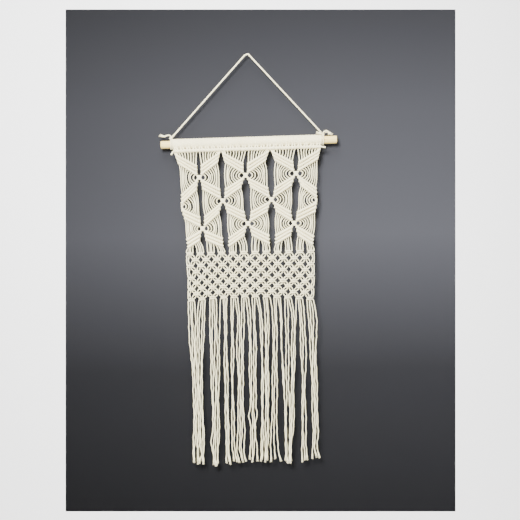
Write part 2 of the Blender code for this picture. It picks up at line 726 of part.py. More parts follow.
def add_tie(name, knot, tails, collection, cutters):
    """Build a tie: a turn round the dowel, the knot on top of it and the free tails."""
    centre = Vector((knot.x, 0.0, dowel_axis(knot.x)))
    turn = []
    for step in range(TURN_SEGMENTS):
        angle = 2 * math.pi * step / TURN_SEGMENTS
        turn.append(centre + Vector((0.0, math.sin(angle), math.cos(angle))) * TIE_TURN_RADIUS)
    tie = made_solid(tube_object(name, turn, collection, closed=True))
    joined = []
    for number, tail in enumerate(tails):
        points = smooth_points(tail, TAIL_POINTS)
        cord = tube_object(f"{name}_tail_{number}", points, cutters, flare=TAIL_FLARE)
        joined.append(made_solid(cord))
    lump = bmesh.new()
    bmesh.ops.create_icosphere(lump, subdivisions=2, radius=0.5)
    bmesh.ops.scale(lump, vec=KNOT_SIZE * MM, verts=lump.verts)
    bmesh.ops.translate(lump, vec=knot * MM, verts=lump.verts)
    mesh = bpy.data.meshes.new(f"{name}_knot")
    lump.to_mesh(mesh)
    lump.free()
    joined.append(add_object(f"{name}_knot", mesh, cutters, COTTON))
    for other in joined:
        other.hide_render = True
        other.display_type = "WIRE"
        union = tie.modifiers.new("Join " + other.name, "BOOLEAN")
        union.operation = "UNION"
        union.solver = "EXACT"
        union.object = other
    return tie


def build():
    """Build every piece of the hanging."""
    for old in list(bpy.data.objects):
        bpy.data.objects.remove(old)
    pieces = bpy.data.collections.new("macrame_wall_hanging")
    cutters = bpy.data.collections.new("joining_shapes")
    bpy.context.scene.collection.children.link(pieces)
    bpy.context.scene.collection.children.link(cutters)
    add_dowel(pieces)
    add_heading(pieces)
    add_knotted_panel(pieces)
    add_square_knot_net(pieces)
    add_fringe(pieces)
    add_hanging_cord(pieces)
    add_tie("left_tie", LEFT_KNOT, (LEFT_TAIL,), pieces, cutters)
    add_tie("right_tie", RIGHT_KNOT, (RIGHT_TAIL, RIGHT_SHORT_TAIL), pieces, cutters)


build()
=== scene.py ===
# %% [markdown]
# # A macrame wall hanging on a wooden dowel
# Forty-eight cotton cords hang from a rod. They are mounted with lark's head knots, knotted into
# zigzag bars of double half hitches, gathered in a net of square knots and left as a fringe.
# The solids made before this lesson give the pieces their sizes and places. Here each cord is drawn
# as a real cord that wraps, crosses and hangs, and the wood and the cotton get their surfaces.

# %% Load the solids
import math

import bmesh
import bpy
import numpy as np
from mathutils import Matrix, Vector


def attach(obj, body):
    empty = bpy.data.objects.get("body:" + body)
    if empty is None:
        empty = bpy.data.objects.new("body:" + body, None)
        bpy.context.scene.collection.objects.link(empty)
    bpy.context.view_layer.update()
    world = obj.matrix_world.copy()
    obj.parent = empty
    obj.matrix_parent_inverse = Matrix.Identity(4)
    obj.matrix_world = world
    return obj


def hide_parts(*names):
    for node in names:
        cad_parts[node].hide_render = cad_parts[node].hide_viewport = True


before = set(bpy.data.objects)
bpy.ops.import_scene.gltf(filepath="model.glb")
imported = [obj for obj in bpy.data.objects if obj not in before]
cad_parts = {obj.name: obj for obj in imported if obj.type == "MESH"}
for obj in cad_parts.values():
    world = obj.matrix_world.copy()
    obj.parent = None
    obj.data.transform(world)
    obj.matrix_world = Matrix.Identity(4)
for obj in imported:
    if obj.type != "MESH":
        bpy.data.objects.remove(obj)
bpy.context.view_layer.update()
MM = 0.001


def put(name, data):
    """A new object in the scene, from a mesh, a curve, a light or a camera."""
    made = bpy.data.objects.new(name, data)
    bpy.context.scene.collection.objects.link(made)
    return made


print("solids:", sorted(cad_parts))

# %% [markdown]
# ## The camera
# The hanging is seen square on, from far enough that its depth hardly shows. The camera is rolled
# by one degree, so that the rod's right end stands a little higher than its own tilt gives. A
# camera without perspective could do this too, but a long lens keeps a trace of depth in the knots.

# %% Camera
FRAME_PIXELS = 520
MM_PER_PIXEL = 1.695
CAMERA_ROLL = math.radians(1.0)
CAMERA_DISTANCE = 2000.0
HOOK_PIXEL = Vector((246.9, 53.3))
HOOK_CORD_HEIGHT = 1.45


def at_pixel(across, down):
    """x and z, in millimetres, of the point of the panel's plane that the camera has at a pixel."""
    right, below = across - HOOK_PIXEL.x, down - HOOK_PIXEL.y
    x = right * math.cos(CAMERA_ROLL) - below * math.sin(CAMERA_ROLL)
    z = -right * math.sin(CAMERA_ROLL) - below * math.cos(CAMERA_ROLL)
    return x * MM_PER_PIXEL, z * MM_PER_PIXEL + HOOK_CORD_HEIGHT


PANEL_Y = -9.4
aim_x, aim_z = at_pixel(FRAME_PIXELS / 2, FRAME_PIXELS / 2)
camera_data = bpy.data.cameras.new("camera")
camera_data.sensor_width = 36.0
camera_data.lens = camera_data.sensor_width * CAMERA_DISTANCE / (FRAME_PIXELS * MM_PER_PIXEL)
camera = put("camera", camera_data)
place = Matrix.Translation(Vector((aim_x, PANEL_Y - CAMERA_DISTANCE, aim_z)) * MM)
camera.matrix_world = place @ Matrix.Rotation(math.pi / 2, 4, "X") @ Matrix.Rotation(-CAMERA_ROLL, 4, "Z")
bpy.context.scene.camera = camera
print(f"camera: {camera_data.lens:.1f} mm lens, aimed at x {aim_x:.1f}, z {aim_z:.1f} mm")

# %% [markdown]
# ## The sizes of the knotting
# Most of these are the sizes that the solids have, so that every cord lies where its solid is.
# The panel is a grid: seven upright edges part six groups of eight strands, and neighbouring bars
# meet on these edges at an upper and a lower meeting point. All this could be read off the points
# of the solids, but a few named sizes are easier to follow and to change.

# %% Sizes
DOWEL_RADIUS = 6.6
DOWEL_CENTRE = Vector((0.5, 0.0, -148.5))
DOWEL_TILT = math.radians(0.785)
DOWEL_LINE = Vector((math.cos(DOWEL_TILT), 0.0, math.sin(DOWEL_TILT)))
HEADING_LEFT, HEADING_RIGHT = -129.6, 124.6
GROUPS, PER_GROUP, TIERS, RIDGES = 6, 8, 4, 3
STRANDS = GROUPS * PER_GROUP
TOP_BAR_LEFT, TOP_BAR_RIGHT = -127.4, 122.8
TOP_BAR_DROP, TOP_BAR_HEIGHT = 5.9, 7.6
FIRST_BAR_DROP = 1.8
BAR_HEIGHT = 18.5
SLOT_NARROWING, SIDE_NARROWING = 0.6, 0.1
CROSSING_REACH, SIDE_REACH, EYE_RISE, CROSSING_RISE = 6.0, 4.5, 2.2, 4.3
SLOT_FOOT, SLOT_HEAD = 1.9, 1.3

# columns: x at the top bar, half width of the slot there,
#          x and z of the upper meeting point, half width below it,
#          x and z of the lower meeting point, half width below it
EDGES = (
    (-127.3, 7.2, -116.9, -257.1, 5.7, -110.1, -331.8, 0.0),
    (-85.8, 3.4, -84.5, -207.6, 4.2, -80.3, -294.5, 4.2),
    (-46.8, 5.5, -45.2, -248.0, 6.4, -41.2, -330.8, 0.0),
    (-5.2, 3.6, -6.0, -205.3, 7.6, -3.3, -287.2, 5.9),
    (36.3, 7.6, 37.4, -247.2, 6.8, 37.7, -327.6, 0.0),
    (80.4, 5.9, 79.7, -203.7, 7.2, 75.1, -288.1, 5.1),
    (122.8, 4.8, 115.6, -249.3, 3.2, 110.2, -330.2, 0.0),
)


def dowel_axis(x):
    """Height of the dowel's axis at x."""
    return DOWEL_CENTRE.z + (x - DOWEL_CENTRE.x) * math.tan(DOWEL_TILT)


def along(start, finish, part):
    """A point part of the way from start to finish."""
    return tuple(a + (b - a) * part for a, b in zip(start, finish))


print(f"panel: {GROUPS} groups of {PER_GROUP} strands, {GROUPS * TIERS} bars of {RIDGES} rows")

# %% [markdown]
# ## Cords as swept curves
# The real cord is a round twist of cotton. Its plies could be modelled one by one, but in
# forty-eight cords that would be millions of faces. So a cord is a curve with a round section, and
# its surface draws the twist. Turned into a mesh, its vertices come ring by ring, so each can be
# told how far along its cord and how far round it lies. The twist is drawn from these two numbers,
# and it follows every wrap and bend of the cord.

# %% Sweep cords
SIDES = 10
SPREAD_FROM = 0.10          # half the bend, in radians a millimetre, at which a cord starts to spread
SPREAD_BEND = 0.07          # and how much more bend spreads it fully


def smooth(points, spacing):
    """Points about spacing apart on a smooth curve through the given ones."""
    spots = [Vector(point) for point in points]
    spots = [2 * spots[0] - spots[1]] + spots + [2 * spots[-1] - spots[-2]]
    made = []
    for before, start, end, after in zip(spots, spots[1:], spots[2:], spots[3:]):
        steps = max(1, round((end - start).length / spacing))
        for part in (step / steps for step in range(steps)):
            made.append(0.5 * ((2 * start) + (end - before) * part
                               + (2 * before - 5 * start + 4 * end - after) * part ** 2
                               + (3 * start - before - 3 * end + after) * part ** 3))
    made.append(spots[-2])
    return made


def spread(route, amount):
    """How wide a cord is at each of its points: it spreads where it bends tightly round another."""
    bends = [0.0]
    for before, here, after in zip(route, route[1:], route[2:]):
        first, second = here - before, after - here
        tight = first.angle(second, 0.0) / max(first.length + second.length, 0.5)
        bends.append(min(1.0, max(0.0, tight - SPREAD_FROM) / SPREAD_BEND))
    bends.append(0.0)
    near = [bends[max(0, i - 2):i + 3] for i in range(len(bends))]
    return [1.0 + amount * (sum(window) / len(window)) for window in near]


# %% [markdown]
# The points of a curve lie on its middle line, but the lay is needed on its surface. So the curve is
# made a mesh as soon as it is swept. The tube that comes of it is open, and each end is closed with
# one face.

# %% From curve to mesh


def cord_curve(name, routes, thickness, spreading, swell, sides):
    """A curve object with one spline for each route; swell gives the width of the last points."""
    curve = bpy.data.curves.new(name, "CURVE")
    curve.dimensions = "3D"
    curve.bevel_depth = thickness / 2 * MM
    curve.bevel_resolution = (sides - 4) // 2
    for route in routes:
        spline = curve.splines.new("POLY")
        spline.points.add(len(route) - 1)
        for target, point, width in zip(spline.points, route, spread(route, spreading)):
            target.co = (*(point * MM), 1.0)
            target.radius = width
        for target, times in zip(spline.points[len(route) - len(swell):], swell):
            target.radius = times
    return put(name, curve)


def write_lay(mesh, routes, sides):
    """Store on each vertex its place round the cord, as a cosine and a sine, and along it in metres."""
    lay = np.zeros((len(mesh.vertices), 3), np.float32)
    turn = np.arange(sides) * 2 * math.pi / sides
    row = 0
    for route in routes:
        steps = [0.0] + [(second - first).length * MM for first, second in zip(route, route[1:])]
        reach = np.cumsum(steps)
        count = len(route) * sides
        lay[row:row + count, 0] = np.tile(np.cos(turn), len(route))
        lay[row:row + count, 1] = np.tile(np.sin(turn), len(route))
        lay[row:row + count, 2] = np.repeat(reach, sides)
        row += count
    mesh.attributes.new("lay", "FLOAT_VECTOR", "POINT").data.foreach_set("vector", lay.ravel())


def cord_piece(name, routes, thickness, spreading=0.0, swell=(), sides=SIDES):
    """Cords as one mesh piece, with closed ends and the lay written on them."""
    swept = cord_curve(name, routes, thickness, spreading, swell, sides)
    mesh = bpy.data.meshes.new_from_object(swept.evaluated_get(bpy.context.evaluated_depsgraph_get()))
    bpy.data.objects.remove(swept)
    mesh.name = name
    write_lay(mesh, routes, sides)
    shape = bmesh.new()
    shape.from_mesh(mesh)
    bmesh.ops.holes_fill(shape, edges=[edge for edge in shape.edges if edge.is_boundary], sides=sides)
    bmesh.ops.recalc_face_normals(shape, faces=shape.faces)
    shape.to_mesh(mesh)
    shape.free()
    mesh.shade_smooth()
    print(f"{name}: {len(routes)} cords, {sum(len(p.vertices) - 2 for p in mesh.polygons)} triangles")
    return put(name, mesh)


# %% [markdown]
# A cut end of soft cotton opens. Its yarns stand out like a small brush, no two quite alike. Hair
# could be grown on the ends, but a few thin cords, swept as the others are, are enough at this size.

# %% Frayed ends
FRAY = 0.7
FRAY_SIDES = 4
FRAY_HAIRS = 13
FRAY_LENGTH = 4.2
FRAY_SHARE, FRAY_SHARE_UNEVENNESS = 0.8, 0.25       # of that length
FRAY_TURN_UNEVENNESS = 0.4
FRAY_INNER, FRAY_INNER_EVERY = 0.35, 3              # every third yarn stands further in
FRAY_SWELL = (1.0, 0.9, 0.5)
# how far down its length and how far out, in radii of the cord's end, a loose yarn passes
FRAY_STOPS = ((-0.5, 0.45), (0.1, 0.7), (0.6, 1.0), (1.0, 1.25))


def uneven(seed, amount):
    """A hand's unevenness: a steady value for a seed, from -amount to amount."""
    value = math.sin(seed * 12.9898) * 43758.5453
    return (2 * (value - math.floor(value)) - 1) * amount


def frayed_end(route, number, radius):
    """Loose yarns that stand out of a cut end like a small brush."""
    end, down = route[-1], (route[-1] - route[-4]).normalized()
    side = down.cross(Vector((0.0, 1.0, 0.0))).normalized()
    front = side.cross(down)
    yarns = []
    for hair in range(FRAY_HAIRS):
        angle = 2 * math.pi * (hair + uneven(number * 7.3 + hair, FRAY_TURN_UNEVENNESS)) / FRAY_HAIRS
        outward = (side * math.cos(angle) + front * math.sin(angle)) * radius
        share = FRAY_INNER if hair % FRAY_INNER_EVERY == 0 else 1.0
        length = FRAY_LENGTH * (FRAY_SHARE + uneven(number * 3.7 + hair, FRAY_SHARE_UNEVENNESS))
        yarns.append([end + down * length * fall + outward * reach * share for fall, reach in FRAY_STOPS])
    return yarns


def fray_piece(name, routes, radius, first=0):
    """The frayed ends of several cords as one piece; the cords are numbered from first."""
    yarns = []
    for number, route in enumerate(routes, first):
        yarns += frayed_end(route, number, radius)
    return cord_piece(name, yarns, FRAY, swell=FRAY_SWELL, sides=FRAY_SIDES)


# %% [markdown]
# ## The hanging cord and its ties
# One cord carries the piece. It is tied round the rod outside the knotting at each side, and its
# middle lies over a hook. It could be hung by simulation, but it pulls straight because it carries
# the weight, so its line is worked out from its two knots and made even, with a round bend on top.

# %% Hanging cord
HANGER = 2.8
HANGER_POINTS = 69
APEX = Vector((0.0, 0.0, HANGER / 2))
APEX_RADIUS = 5.6
BEND_RISE, BEND_START = 0.46, 1.08      # where the legs would meet, and the bend's start, in radii
BEND_BETWEEN, BEND_CROWN = 0.42, 0.75   # a point between that start and the apex, and its lift
LEG_GAP = 1.1
KNOT_HEIGHT = 4.4
LEFT_KNOT = Vector((-131.6, 0.0, -139.4))
RIGHT_KNOT = Vector((126.9, 0.0, -137.0))


def even_points(route, count):
    """Points spread evenly along a smooth curve through a route."""
    dense = smooth(route, spacing=0.4)
    lengths = [0.0]
    for first, second in zip(dense, dense[1:]):
        lengths.append(lengths[-1] + (second - first).length)
    points, index = [], 0
    for step in range(count):
        target = lengths[-1] * step / (count - 1)
        while index < len(dense) - 2 and lengths[index + 1] < target:
            index += 1
        part = (target - lengths[index]) / (lengths[index + 1] - lengths[index])
        points.append(dense[index].lerp(dense[index + 1], part))
    return points


def hanger_leg(knot):
    """A leg's points, from a gap above its knot into the bend over the hook."""
    sharp = APEX + Vector((0.0, 0.0, APEX_RADIUS * BEND_RISE))
    end = knot + (APEX - knot).normalized() * (KNOT_HEIGHT / 2 + LEG_GAP)
    tangent = sharp + (end - sharp).normalized() * APEX_RADIUS * BEND_START
    leg = [end.lerp(tangent, part) for part in (0.0, 0.25, 0.5, 0.75, 1.0)]
    return leg + [tangent.lerp(APEX, BEND_BETWEEN) + Vector((0.0, 0.0, BEND_CROWN))]


hanger_route = even_points(hanger_leg(LEFT_KNOT) + [APEX] + hanger_leg(RIGHT_KNOT)[::-1], HANGER_POINTS)
hanger_route[HANGER_POINTS // 2] = APEX
hanging_cord = cord_piece("hanging_cord_twisted", [hanger_route], HANGER)

# %% [markdown]
# A tie goes once round the rod and wraps itself in a small knot on top, and its cut ends, which
# have begun to fray, stand away to the side. It could be one true knotted line, but inside so small
# a knot that wouldn't show. So it is made of runs: a turn round the rod, two tight turns about the
# leg of the hanging cord, a loop where there is one, and the ends.

# %% Ties
TIE_CORD = HANGER * 0.92
TIE_SPACING = 1.2           # between the points of its loops and ends
TIE_GAP = 0.35
TIE_TURN_RADIUS = DOWEL_RADIUS + TIE_GAP + HANGER / 2
TURN_FROM, TURN_SWEEP, TURN_STEPS, TURN_DRIFT = -30, 420, 28, 0.9
KNOT_TURN_RADIUS = 1.5
KNOT_TURNS, KNOT_STEPS, KNOT_RISE = 2.25, 27, 3.4
CORE_BELOW, CORE_ABOVE = 2.4, 2.0       # how far the cord inside the knot reaches past it
TAIL_SWELL = (1.1, 1.15, 1.2, 1.3, 1.45, 1.6, 1.65)
LEFT_TAIL = ((-130.6, -0.8, -139.0), (-133.4, -1.6, -135.2), (-137.4, -1.8, -134.6), (-142.4, -1.6, -136.2),
             (-148.2, -1.2, -135.2))
RIGHT_LOOP = ((127.0, -1.0, -137.4), (128.0, -2.6, -133.8), (132.2, -3.6, -131.6), (136.6, -3.4, -133.8),
              (136.6, -2.6, -138.2))
RIGHT_TAIL = ((130.6, -1.4, -134.2), (134.0, -1.8, -133.2), (137.2, -2.4, -134.6), (140.0, -2.8, -136.4))
RIGHT_SHORT_TAIL = ((126.4, -1.8, -137.2), (122.8, -3.8, -135.8), (118.8, -3.8, -135.2))


def tie_routes(knot, loops):
    """The turn round the rod, the knot's turns and the loops of a tie."""
    centre = Vector((knot.x, 0.0, dowel_axis(knot.x)))
    turn = []
    for step in range(TURN_STEPS + 1):
        angle = math.radians(TURN_FROM + TURN_SWEEP * step / TURN_STEPS)
        aside = DOWEL_LINE * (TURN_DRIFT * (step / TURN_STEPS - 0.5))
        turn.append(centre + aside + Vector((0.0, math.sin(angle), math.cos(angle))) * TIE_TURN_RADIUS)
    axis = (APEX - knot).normalized()
    side = axis.cross(Vector((0.0, 1.0, 0.0))).normalized()
    front = side.cross(axis)
    wraps = []
    for step in range(KNOT_STEPS + 1):
        angle = 2 * math.pi * KNOT_TURNS * step / KNOT_STEPS
        rise = axis * (KNOT_RISE * (step / KNOT_STEPS - 0.5))
        wraps.append(knot + rise + (side * math.cos(angle) + front * math.sin(angle)) * KNOT_TURN_RADIUS)
    core = [knot - axis * CORE_BELOW, knot, knot + axis * (KNOT_HEIGHT / 2 + CORE_ABOVE)]
    return [turn, wraps, smooth(core, spacing=1.0)] + [smooth(loop, TIE_SPACING) for loop in loops]


left_tie = cord_piece("left_tie_knotted", tie_routes(LEFT_KNOT, ()), TIE_CORD)
right_tie = cord_piece("right_tie_knotted", tie_routes(RIGHT_KNOT, (RIGHT_LOOP,)), TIE_CORD)
left_tails = [smooth(LEFT_TAIL, TIE_SPACING)]
right_tails = [smooth(tail, TIE_SPACING) for tail in (RIGHT_TAIL, RIGHT_SHORT_TAIL)]
left_end = cord_piece("left_tie_end", left_tails, TIE_CORD, swell=TAIL_SWELL)
right_ends = cord_piece("right_tie_ends", right_tails, TIE_CORD, swell=TAIL_SWELL)
tail_radius = TIE_CORD * TAIL_SWELL[-1] / 2
left_fray = fray_piece("left_tie_frayed_end", left_tails, tail_radius)
right_fray = fray_piece("right_tie_frayed_ends", right_tails, tail_radius, first=len(left_tails))

# %% [markdown]
# ## The double half hitch
# Nearly every knot of the panel is this one. A strand comes down behind a leader cord, passes
# under it, up its front, over it and down behind, twice over. Seen from the front it is two upright
# wraps side by side. The strand moves sideways mostly where it is behind. One hitch could be
# modelled and copied along the bars, but then no strand would run on from knot to knot. So a hitch
# is a function that gives points, and a strand strings many of them together.

# %% Double half hitch
HITCH_FROM, HITCH_TO, HITCH_STEP = 60, 860, 40          # degrees round the leader
# how far a hitch has moved along its leader, in half widths, after so many degrees
HITCH_DEGREES = (60, 180, 360, 450, 540, 720, 860)
HITCH_PLACES = (0.0, -0.46, -0.54, 0.0, 0.46, 0.54, 0.0)


def hitch(centre, line, half_height, half_depth, half_width,
          first=HITCH_FROM, last=HITCH_TO, step=HITCH_STEP):
    """Points of a cord that turns twice round a leader, which runs along line through centre."""
    up = Vector((-line.z, 0.0, line.x)) if line.x > 0 else Vector((line.z, 0.0, -line.x))
    count = round((last - first) / step)
    points = []
    for number in range(count + 1):
        turned = first + (last - first) * number / count
        angle = math.radians(turned)
        moved = float(np.interp(turned, HITCH_DEGREES, HITCH_PLACES)) * half_width
        spot = centre + line * moved + up * (math.cos(angle) * half_height)
        points.append(spot + Vector((0.0, math.sin(angle) * half_depth, 0.0)))
    return points


print(f"a hitch: {round((HITCH_TO - HITCH_FROM) / HITCH_STEP) + 1} points")

# %% [markdown]
# ## The rows of the zigzag bars
# Each bar is three rows of hitches over three leaders. The rows could be placed one by one, but
# there are seventy-two. So a row's ends are worked out from the meeting points, the way the
# solid's ridges are.

# %% Bars


def top_bar_middle(x):
    """Height of the middle of the top bar."""
    return dowel_axis(x) - TOP_BAR_DROP - TOP_BAR_HEIGHT / 2


def leans_right(group, tier):
    """True for a bar that falls to the right."""
    return (group + tier) % 2 == 0


def meeting(edge, level):
    """x and z where bars meet on an edge; level 0 is at the top bar."""
    row = EDGES[edge]
    if level == 0:
        return row[0], top_bar_middle(row[0]) - TOP_BAR_HEIGHT / 2 - FIRST_BAR_DROP + EYE_RISE
    first = 2 if level <= 2 else 5
    return row[first], row[first + 1]


def slot_half_width(edge, level):
    """Half width of the slot that opens below a meeting point."""
    return EDGES[edge][{0: 1, 1: 4, 2: 4, 3: 7, 4: 7}[level]]


def is_side(edge):
    """True for the left and right outlines of the panel."""
    return edge in (0, GROUPS)


def bar_corners(group, tier):
    """Upper and lower corner of a bar's high end and of its low end, in that order."""
    inward = 1.0 if leans_right(group, tier) else -1.0
    high_edge = group if leans_right(group, tier) else group + 1
    low_edge = 2 * group + 1 - high_edge
    high_x, high_z = meeting(high_edge, tier)
    low_x, low_z = meeting(low_edge, tier + 1)
    high_reach = SIDE_REACH if is_side(high_edge) else CROSSING_REACH
    low_reach = SIDE_REACH if is_side(low_edge) else CROSSING_REACH
    if tier == 0:
        high_reach = FIRST_BAR_DROP
    if tier == TIERS - 1:
        low_reach = CROSSING_REACH / 2
    narrowing = SIDE_NARROWING if is_side(low_edge) else SLOT_NARROWING
    closing = slot_half_width(low_edge, max(tier - 1, 0)) * narrowing
    high_top = (high_x + inward * high_reach, high_z - EYE_RISE)
    high_bottom = (high_x + inward * slot_half_width(high_edge, tier), high_z - EYE_RISE - BAR_HEIGHT)
    low_top = (low_x - inward * closing, low_z + EYE_RISE + BAR_HEIGHT)
    low_bottom = (low_x - inward * low_reach, low_z + EYE_RISE)
    return inward, high_edge, low_edge, (high_top, high_bottom, low_top, low_bottom)


print("first bar's corners:", [tuple(round(value, 1) for value in corner) for corner in bar_corners(0, 0)[3]])

# %% [markdown]
# A row begins and ends a little inside its bar, so that it keeps clear of the bar that meets it
# there. The eight strands of a group share its length evenly.

# %% Rows
ROW_INSET, CROSSING_INSET = 1.9, 2.0        # the second, where a row ends beside a crossing
ROW_HALF_HEIGHT, ROW_HALF_DEPTH = 1.2, 2.45


def row_ends(group, tier, ridge):
    """The high and the low end of a row of hitches, in the panel's plane."""
    inward, high_edge, low_edge, corners = bar_corners(group, tier)
    high_top, high_bottom, low_top, low_bottom = corners
    line = 2 * ridge + 1
    high, low = along(high_top, high_bottom, line / 6), along(low_top, low_bottom, line / 6)
    if tier > 0:
        x, z = meeting(high_edge, tier)
        corner = (x + inward * (0.0 if is_side(high_edge) else SLOT_HEAD), z - CROSSING_RISE)
        high = along(corner, high_bottom, (line - 1) / 5)
    if tier < TIERS - 1:
        x, z = meeting(low_edge, tier + 1)
        corner = (x - inward * (0.0 if is_side(low_edge) else SLOT_FOOT), z + CROSSING_RISE)
        low = along(low_top, corner, line / 5)
    length = math.dist(high, low)
    high_inset = CROSSING_INSET if tier > 0 and ridge == 0 else ROW_INSET
    low_inset = CROSSING_INSET if tier < TIERS - 1 and ridge == RIDGES - 1 else ROW_INSET
    high, low = along(high, low, high_inset / length), along(low, high, low_inset / length)
    return (Vector((high[0], PANEL_Y, high[1])), Vector((low[0], PANEL_Y, low[1])))


def hitch_place(group, tier, ridge, strand):
    """Centre, direction and row length of a strand's hitch; strands count from the group's left."""
    high, low = row_ends(group, tier, ridge)
    number = strand if leans_right(group, tier) else PER_GROUP - 1 - strand
    return high.lerp(low, (number + 0.5) / PER_GROUP), (low - high).normalized(), (low - high).length


def row_hitch(group, tier, ridge, strand):
    """The points of one strand's hitch in a row."""
    centre, line, length = hitch_place(group, tier, ridge, strand)
    return hitch(centre, line, ROW_HALF_HEIGHT, ROW_HALF_DEPTH, length / PER_GROUP / 2)


print(f"rows: {GROUPS * TIERS * RIDGES}, the first one {hitch_place(0, 0, 0, 0)[2]:.1f} mm long")

# %% [markdown]
# ## The fans between the bars
# Strands leave one bar and run to the next. Those nearest a crossing bend round it and leave an
# eye, and those far from it crowd together, some a little in front of others. They could run
# straight from bar to bar, but a short table of how far each strand keeps from the crossing gives
# the round fans of the real piece.

# %% Fans
FAN_REACHES = (12.0, 17.1, 21.5, 25.3, 28.5, 31.0, 33.0, 36.2)
FAN_WIDTH = 37.6
FAN_ROUNDNESS = 0.22        # how far a strand has come in, halfway down from its bar
FAN_AT_SIDE = 0.9           # how much further out a fan starts at the panel's sides
SLOT_AT_FAN = 0.7           # the slot is narrower beside a fan than beside the bar above it
FAN_DEPTHS = (0.0, 0.2, 0.3, -0.4, 0.8, -1.0, 1.1, -0.6)
FAN_UNEVENNESS = (0.4, 0.7, 1.1, 1.5, 1.5, 1.2, 0.9, 0.4)
FAN_HEIGHT_UNEVENNESS = 0.8


def fan_middle(group, tier, strand):
    """Where a strand passes the height of the crossing between its bar and the next."""
    tight_left = not leans_right(group, tier)
    tight_edge = group if tight_left else group + 1
    open_edge = 2 * group + 1 - tight_edge
    x, z = meeting(tight_edge, tier + 1)
    open_x = (meeting(open_edge, tier)[0] + meeting(open_edge, min(tier + 2, TIERS))[0]) / 2
    open_x += SLOT_AT_FAN * slot_half_width(open_edge, tier) * (-1.0 if tight_left else 1.0)
    number = strand if tight_left else PER_GROUP - 1 - strand
    reach = FAN_REACHES[number] / FAN_WIDTH
    start = FAN_AT_SIDE * (SIDE_REACH - CROSSING_REACH) if is_side(tight_edge) else 0.0
    across = abs(open_x - x)
    from_edge = start * (1.0 - reach) + across * reach
    seed = 100 * group + 10 * tier + number
    from_edge += uneven(seed, FAN_UNEVENNESS[number])
    height = z + uneven(seed + 0.5, FAN_HEIGHT_UNEVENNESS)
    return Vector((x + (from_edge if tight_left else -from_edge), PANEL_Y + FAN_DEPTHS[number], height))


print(f"fans: of {FAN_WIDTH} mm, strands pass {FAN_REACHES[0]} to {FAN_REACHES[-1]} mm from the crossing")

# %% [markdown]
# ## Mounting and the top bar
# Each piece of cord is folded over the rod as a lark's head knot with one more wrap on each side,
# so that the rod is covered. Its two legs come down the front, close together, and are hitched
# over a holding cord that runs under the rod. The wraps could be rings, but rings have no legs. A
# wrap round the rod and one round a leader differ only in size, so the hitch function makes both.

# %% Heading
HEADING_RING = 8.05
HEADING_CORD = 3.0
HEADING_FROM, HEADING_TO, HEADING_STEP = 232, 880, 12       # degrees
TOP_HITCH_DROP = 2.4
TOP_HALF_HEIGHT, TOP_HALF_DEPTH = 1.8, 2.2
TOP_UNEVENNESS = 0.3
STRAND_PITCH = (HEADING_RIGHT - HEADING_LEFT) / STRANDS
TOP_PITCH = (TOP_BAR_RIGHT - TOP_BAR_LEFT) / STRANDS


def heading_wraps(number):
    """The wraps of one leg round the dowel, which end low on its front."""
    x = HEADING_LEFT + (number + 0.5) * STRAND_PITCH
    centre = Vector((x, 0.0, dowel_axis(x)))
    side = -1.0 if number % 2 == 0 else 1.0
    turns = hitch(centre, DOWEL_LINE * side, HEADING_RING, HEADING_RING, STRAND_PITCH / 2,
                  HEADING_FROM, HEADING_TO, HEADING_STEP)
    return turns[::-1]


def top_hitch(number):
    """A strand's hitch on the holding cord."""
    x = TOP_BAR_LEFT + (number + 0.5) * TOP_PITCH
    z = top_bar_middle(x) - TOP_HITCH_DROP + uneven(number + 0.3, TOP_UNEVENNESS)
    return hitch(Vector((x, PANEL_Y, z)), DOWEL_LINE, TOP_HALF_HEIGHT, TOP_HALF_DEPTH, TOP_PITCH / 2)


print(f"heading: a leg every {STRAND_PITCH:.2f} mm, a hitch on the holding cord every {TOP_PITCH:.2f} mm")

# %% [markdown]
# ## Forty-eight strands through the panel
# One strand's line is made from end to end of the panel: down from the rod, hitched on the holding
# cord, then three hitches in each bar and a bend in each fan. The strands are made as three pieces,
# which overlap in rows of hitches, so that no mesh grows too big to handle. The first is fuller,
# because the cord hangs slack there.

# %% Between the knots
STRAND_SPACING, JOIN_SPACING = 1.6, 1.7     # between the points of a strand
SLACK_FALL = 12.0           # a strand at least this long hangs as slack as it can
LEAST_SLACK = 0.35          # and one shorter than this share of it is straight
SLACK_FORWARD = 0.9


def joined(before, middle, after):
    """Two runs of points with a smooth line between them, by way of the middle points."""
    stops = [before[-2], before[-1]] + middle + [after[0], after[1]]
    between = smooth(stops, JOIN_SPACING)
    first = min(range(len(between)), key=lambda i: (between[i] - before[-1]).length)
    last = min(range(len(between)), key=lambda i: (between[i] - after[0]).length)
    return before + between[first + 1:last] + after


def bar_hitches(number, tier):
    """A strand's points through the three rows of one bar."""
    group, strand = divmod(number, PER_GROUP)
    return [point for ridge in range(RIDGES) for point in row_hitch(group, tier, ridge, strand)]


def fan_stops(number, tier, before, after):
    """Three points that bend a strand round the crossing below a tier, in an arc."""
    group, strand = divmod(number, PER_GROUP)
    middle = fan_middle(group, tier, strand)
    stops = [middle]
    for end in (before[-1], after[0]):
        halfway = middle.lerp(end, 0.5)
        halfway.x = middle.x + (end.x - middle.x) * FAN_ROUNDNESS
        stops.insert(0 if end is before[-1] else 2, halfway)
    return stops


def slack_stop(number, before, after, share, aside):
    """A point where a strand that isn't pulled straight stands a little aside."""
    start, end = before[-1], after[0]
    reach = min(1.0, (start.z - end.z) / SLACK_FALL)
    if reach < LEAST_SLACK:
        return []
    spot = Vector((start.x + (end.x - start.x) * share, start.y * 0.5 + end.y * 0.5, (start.z + end.z) / 2))
    shift = Vector((uneven(number + 3.1, aside), uneven(number + 7.7, SLACK_FORWARD), 0.0))
    return [spot + shift * reach]


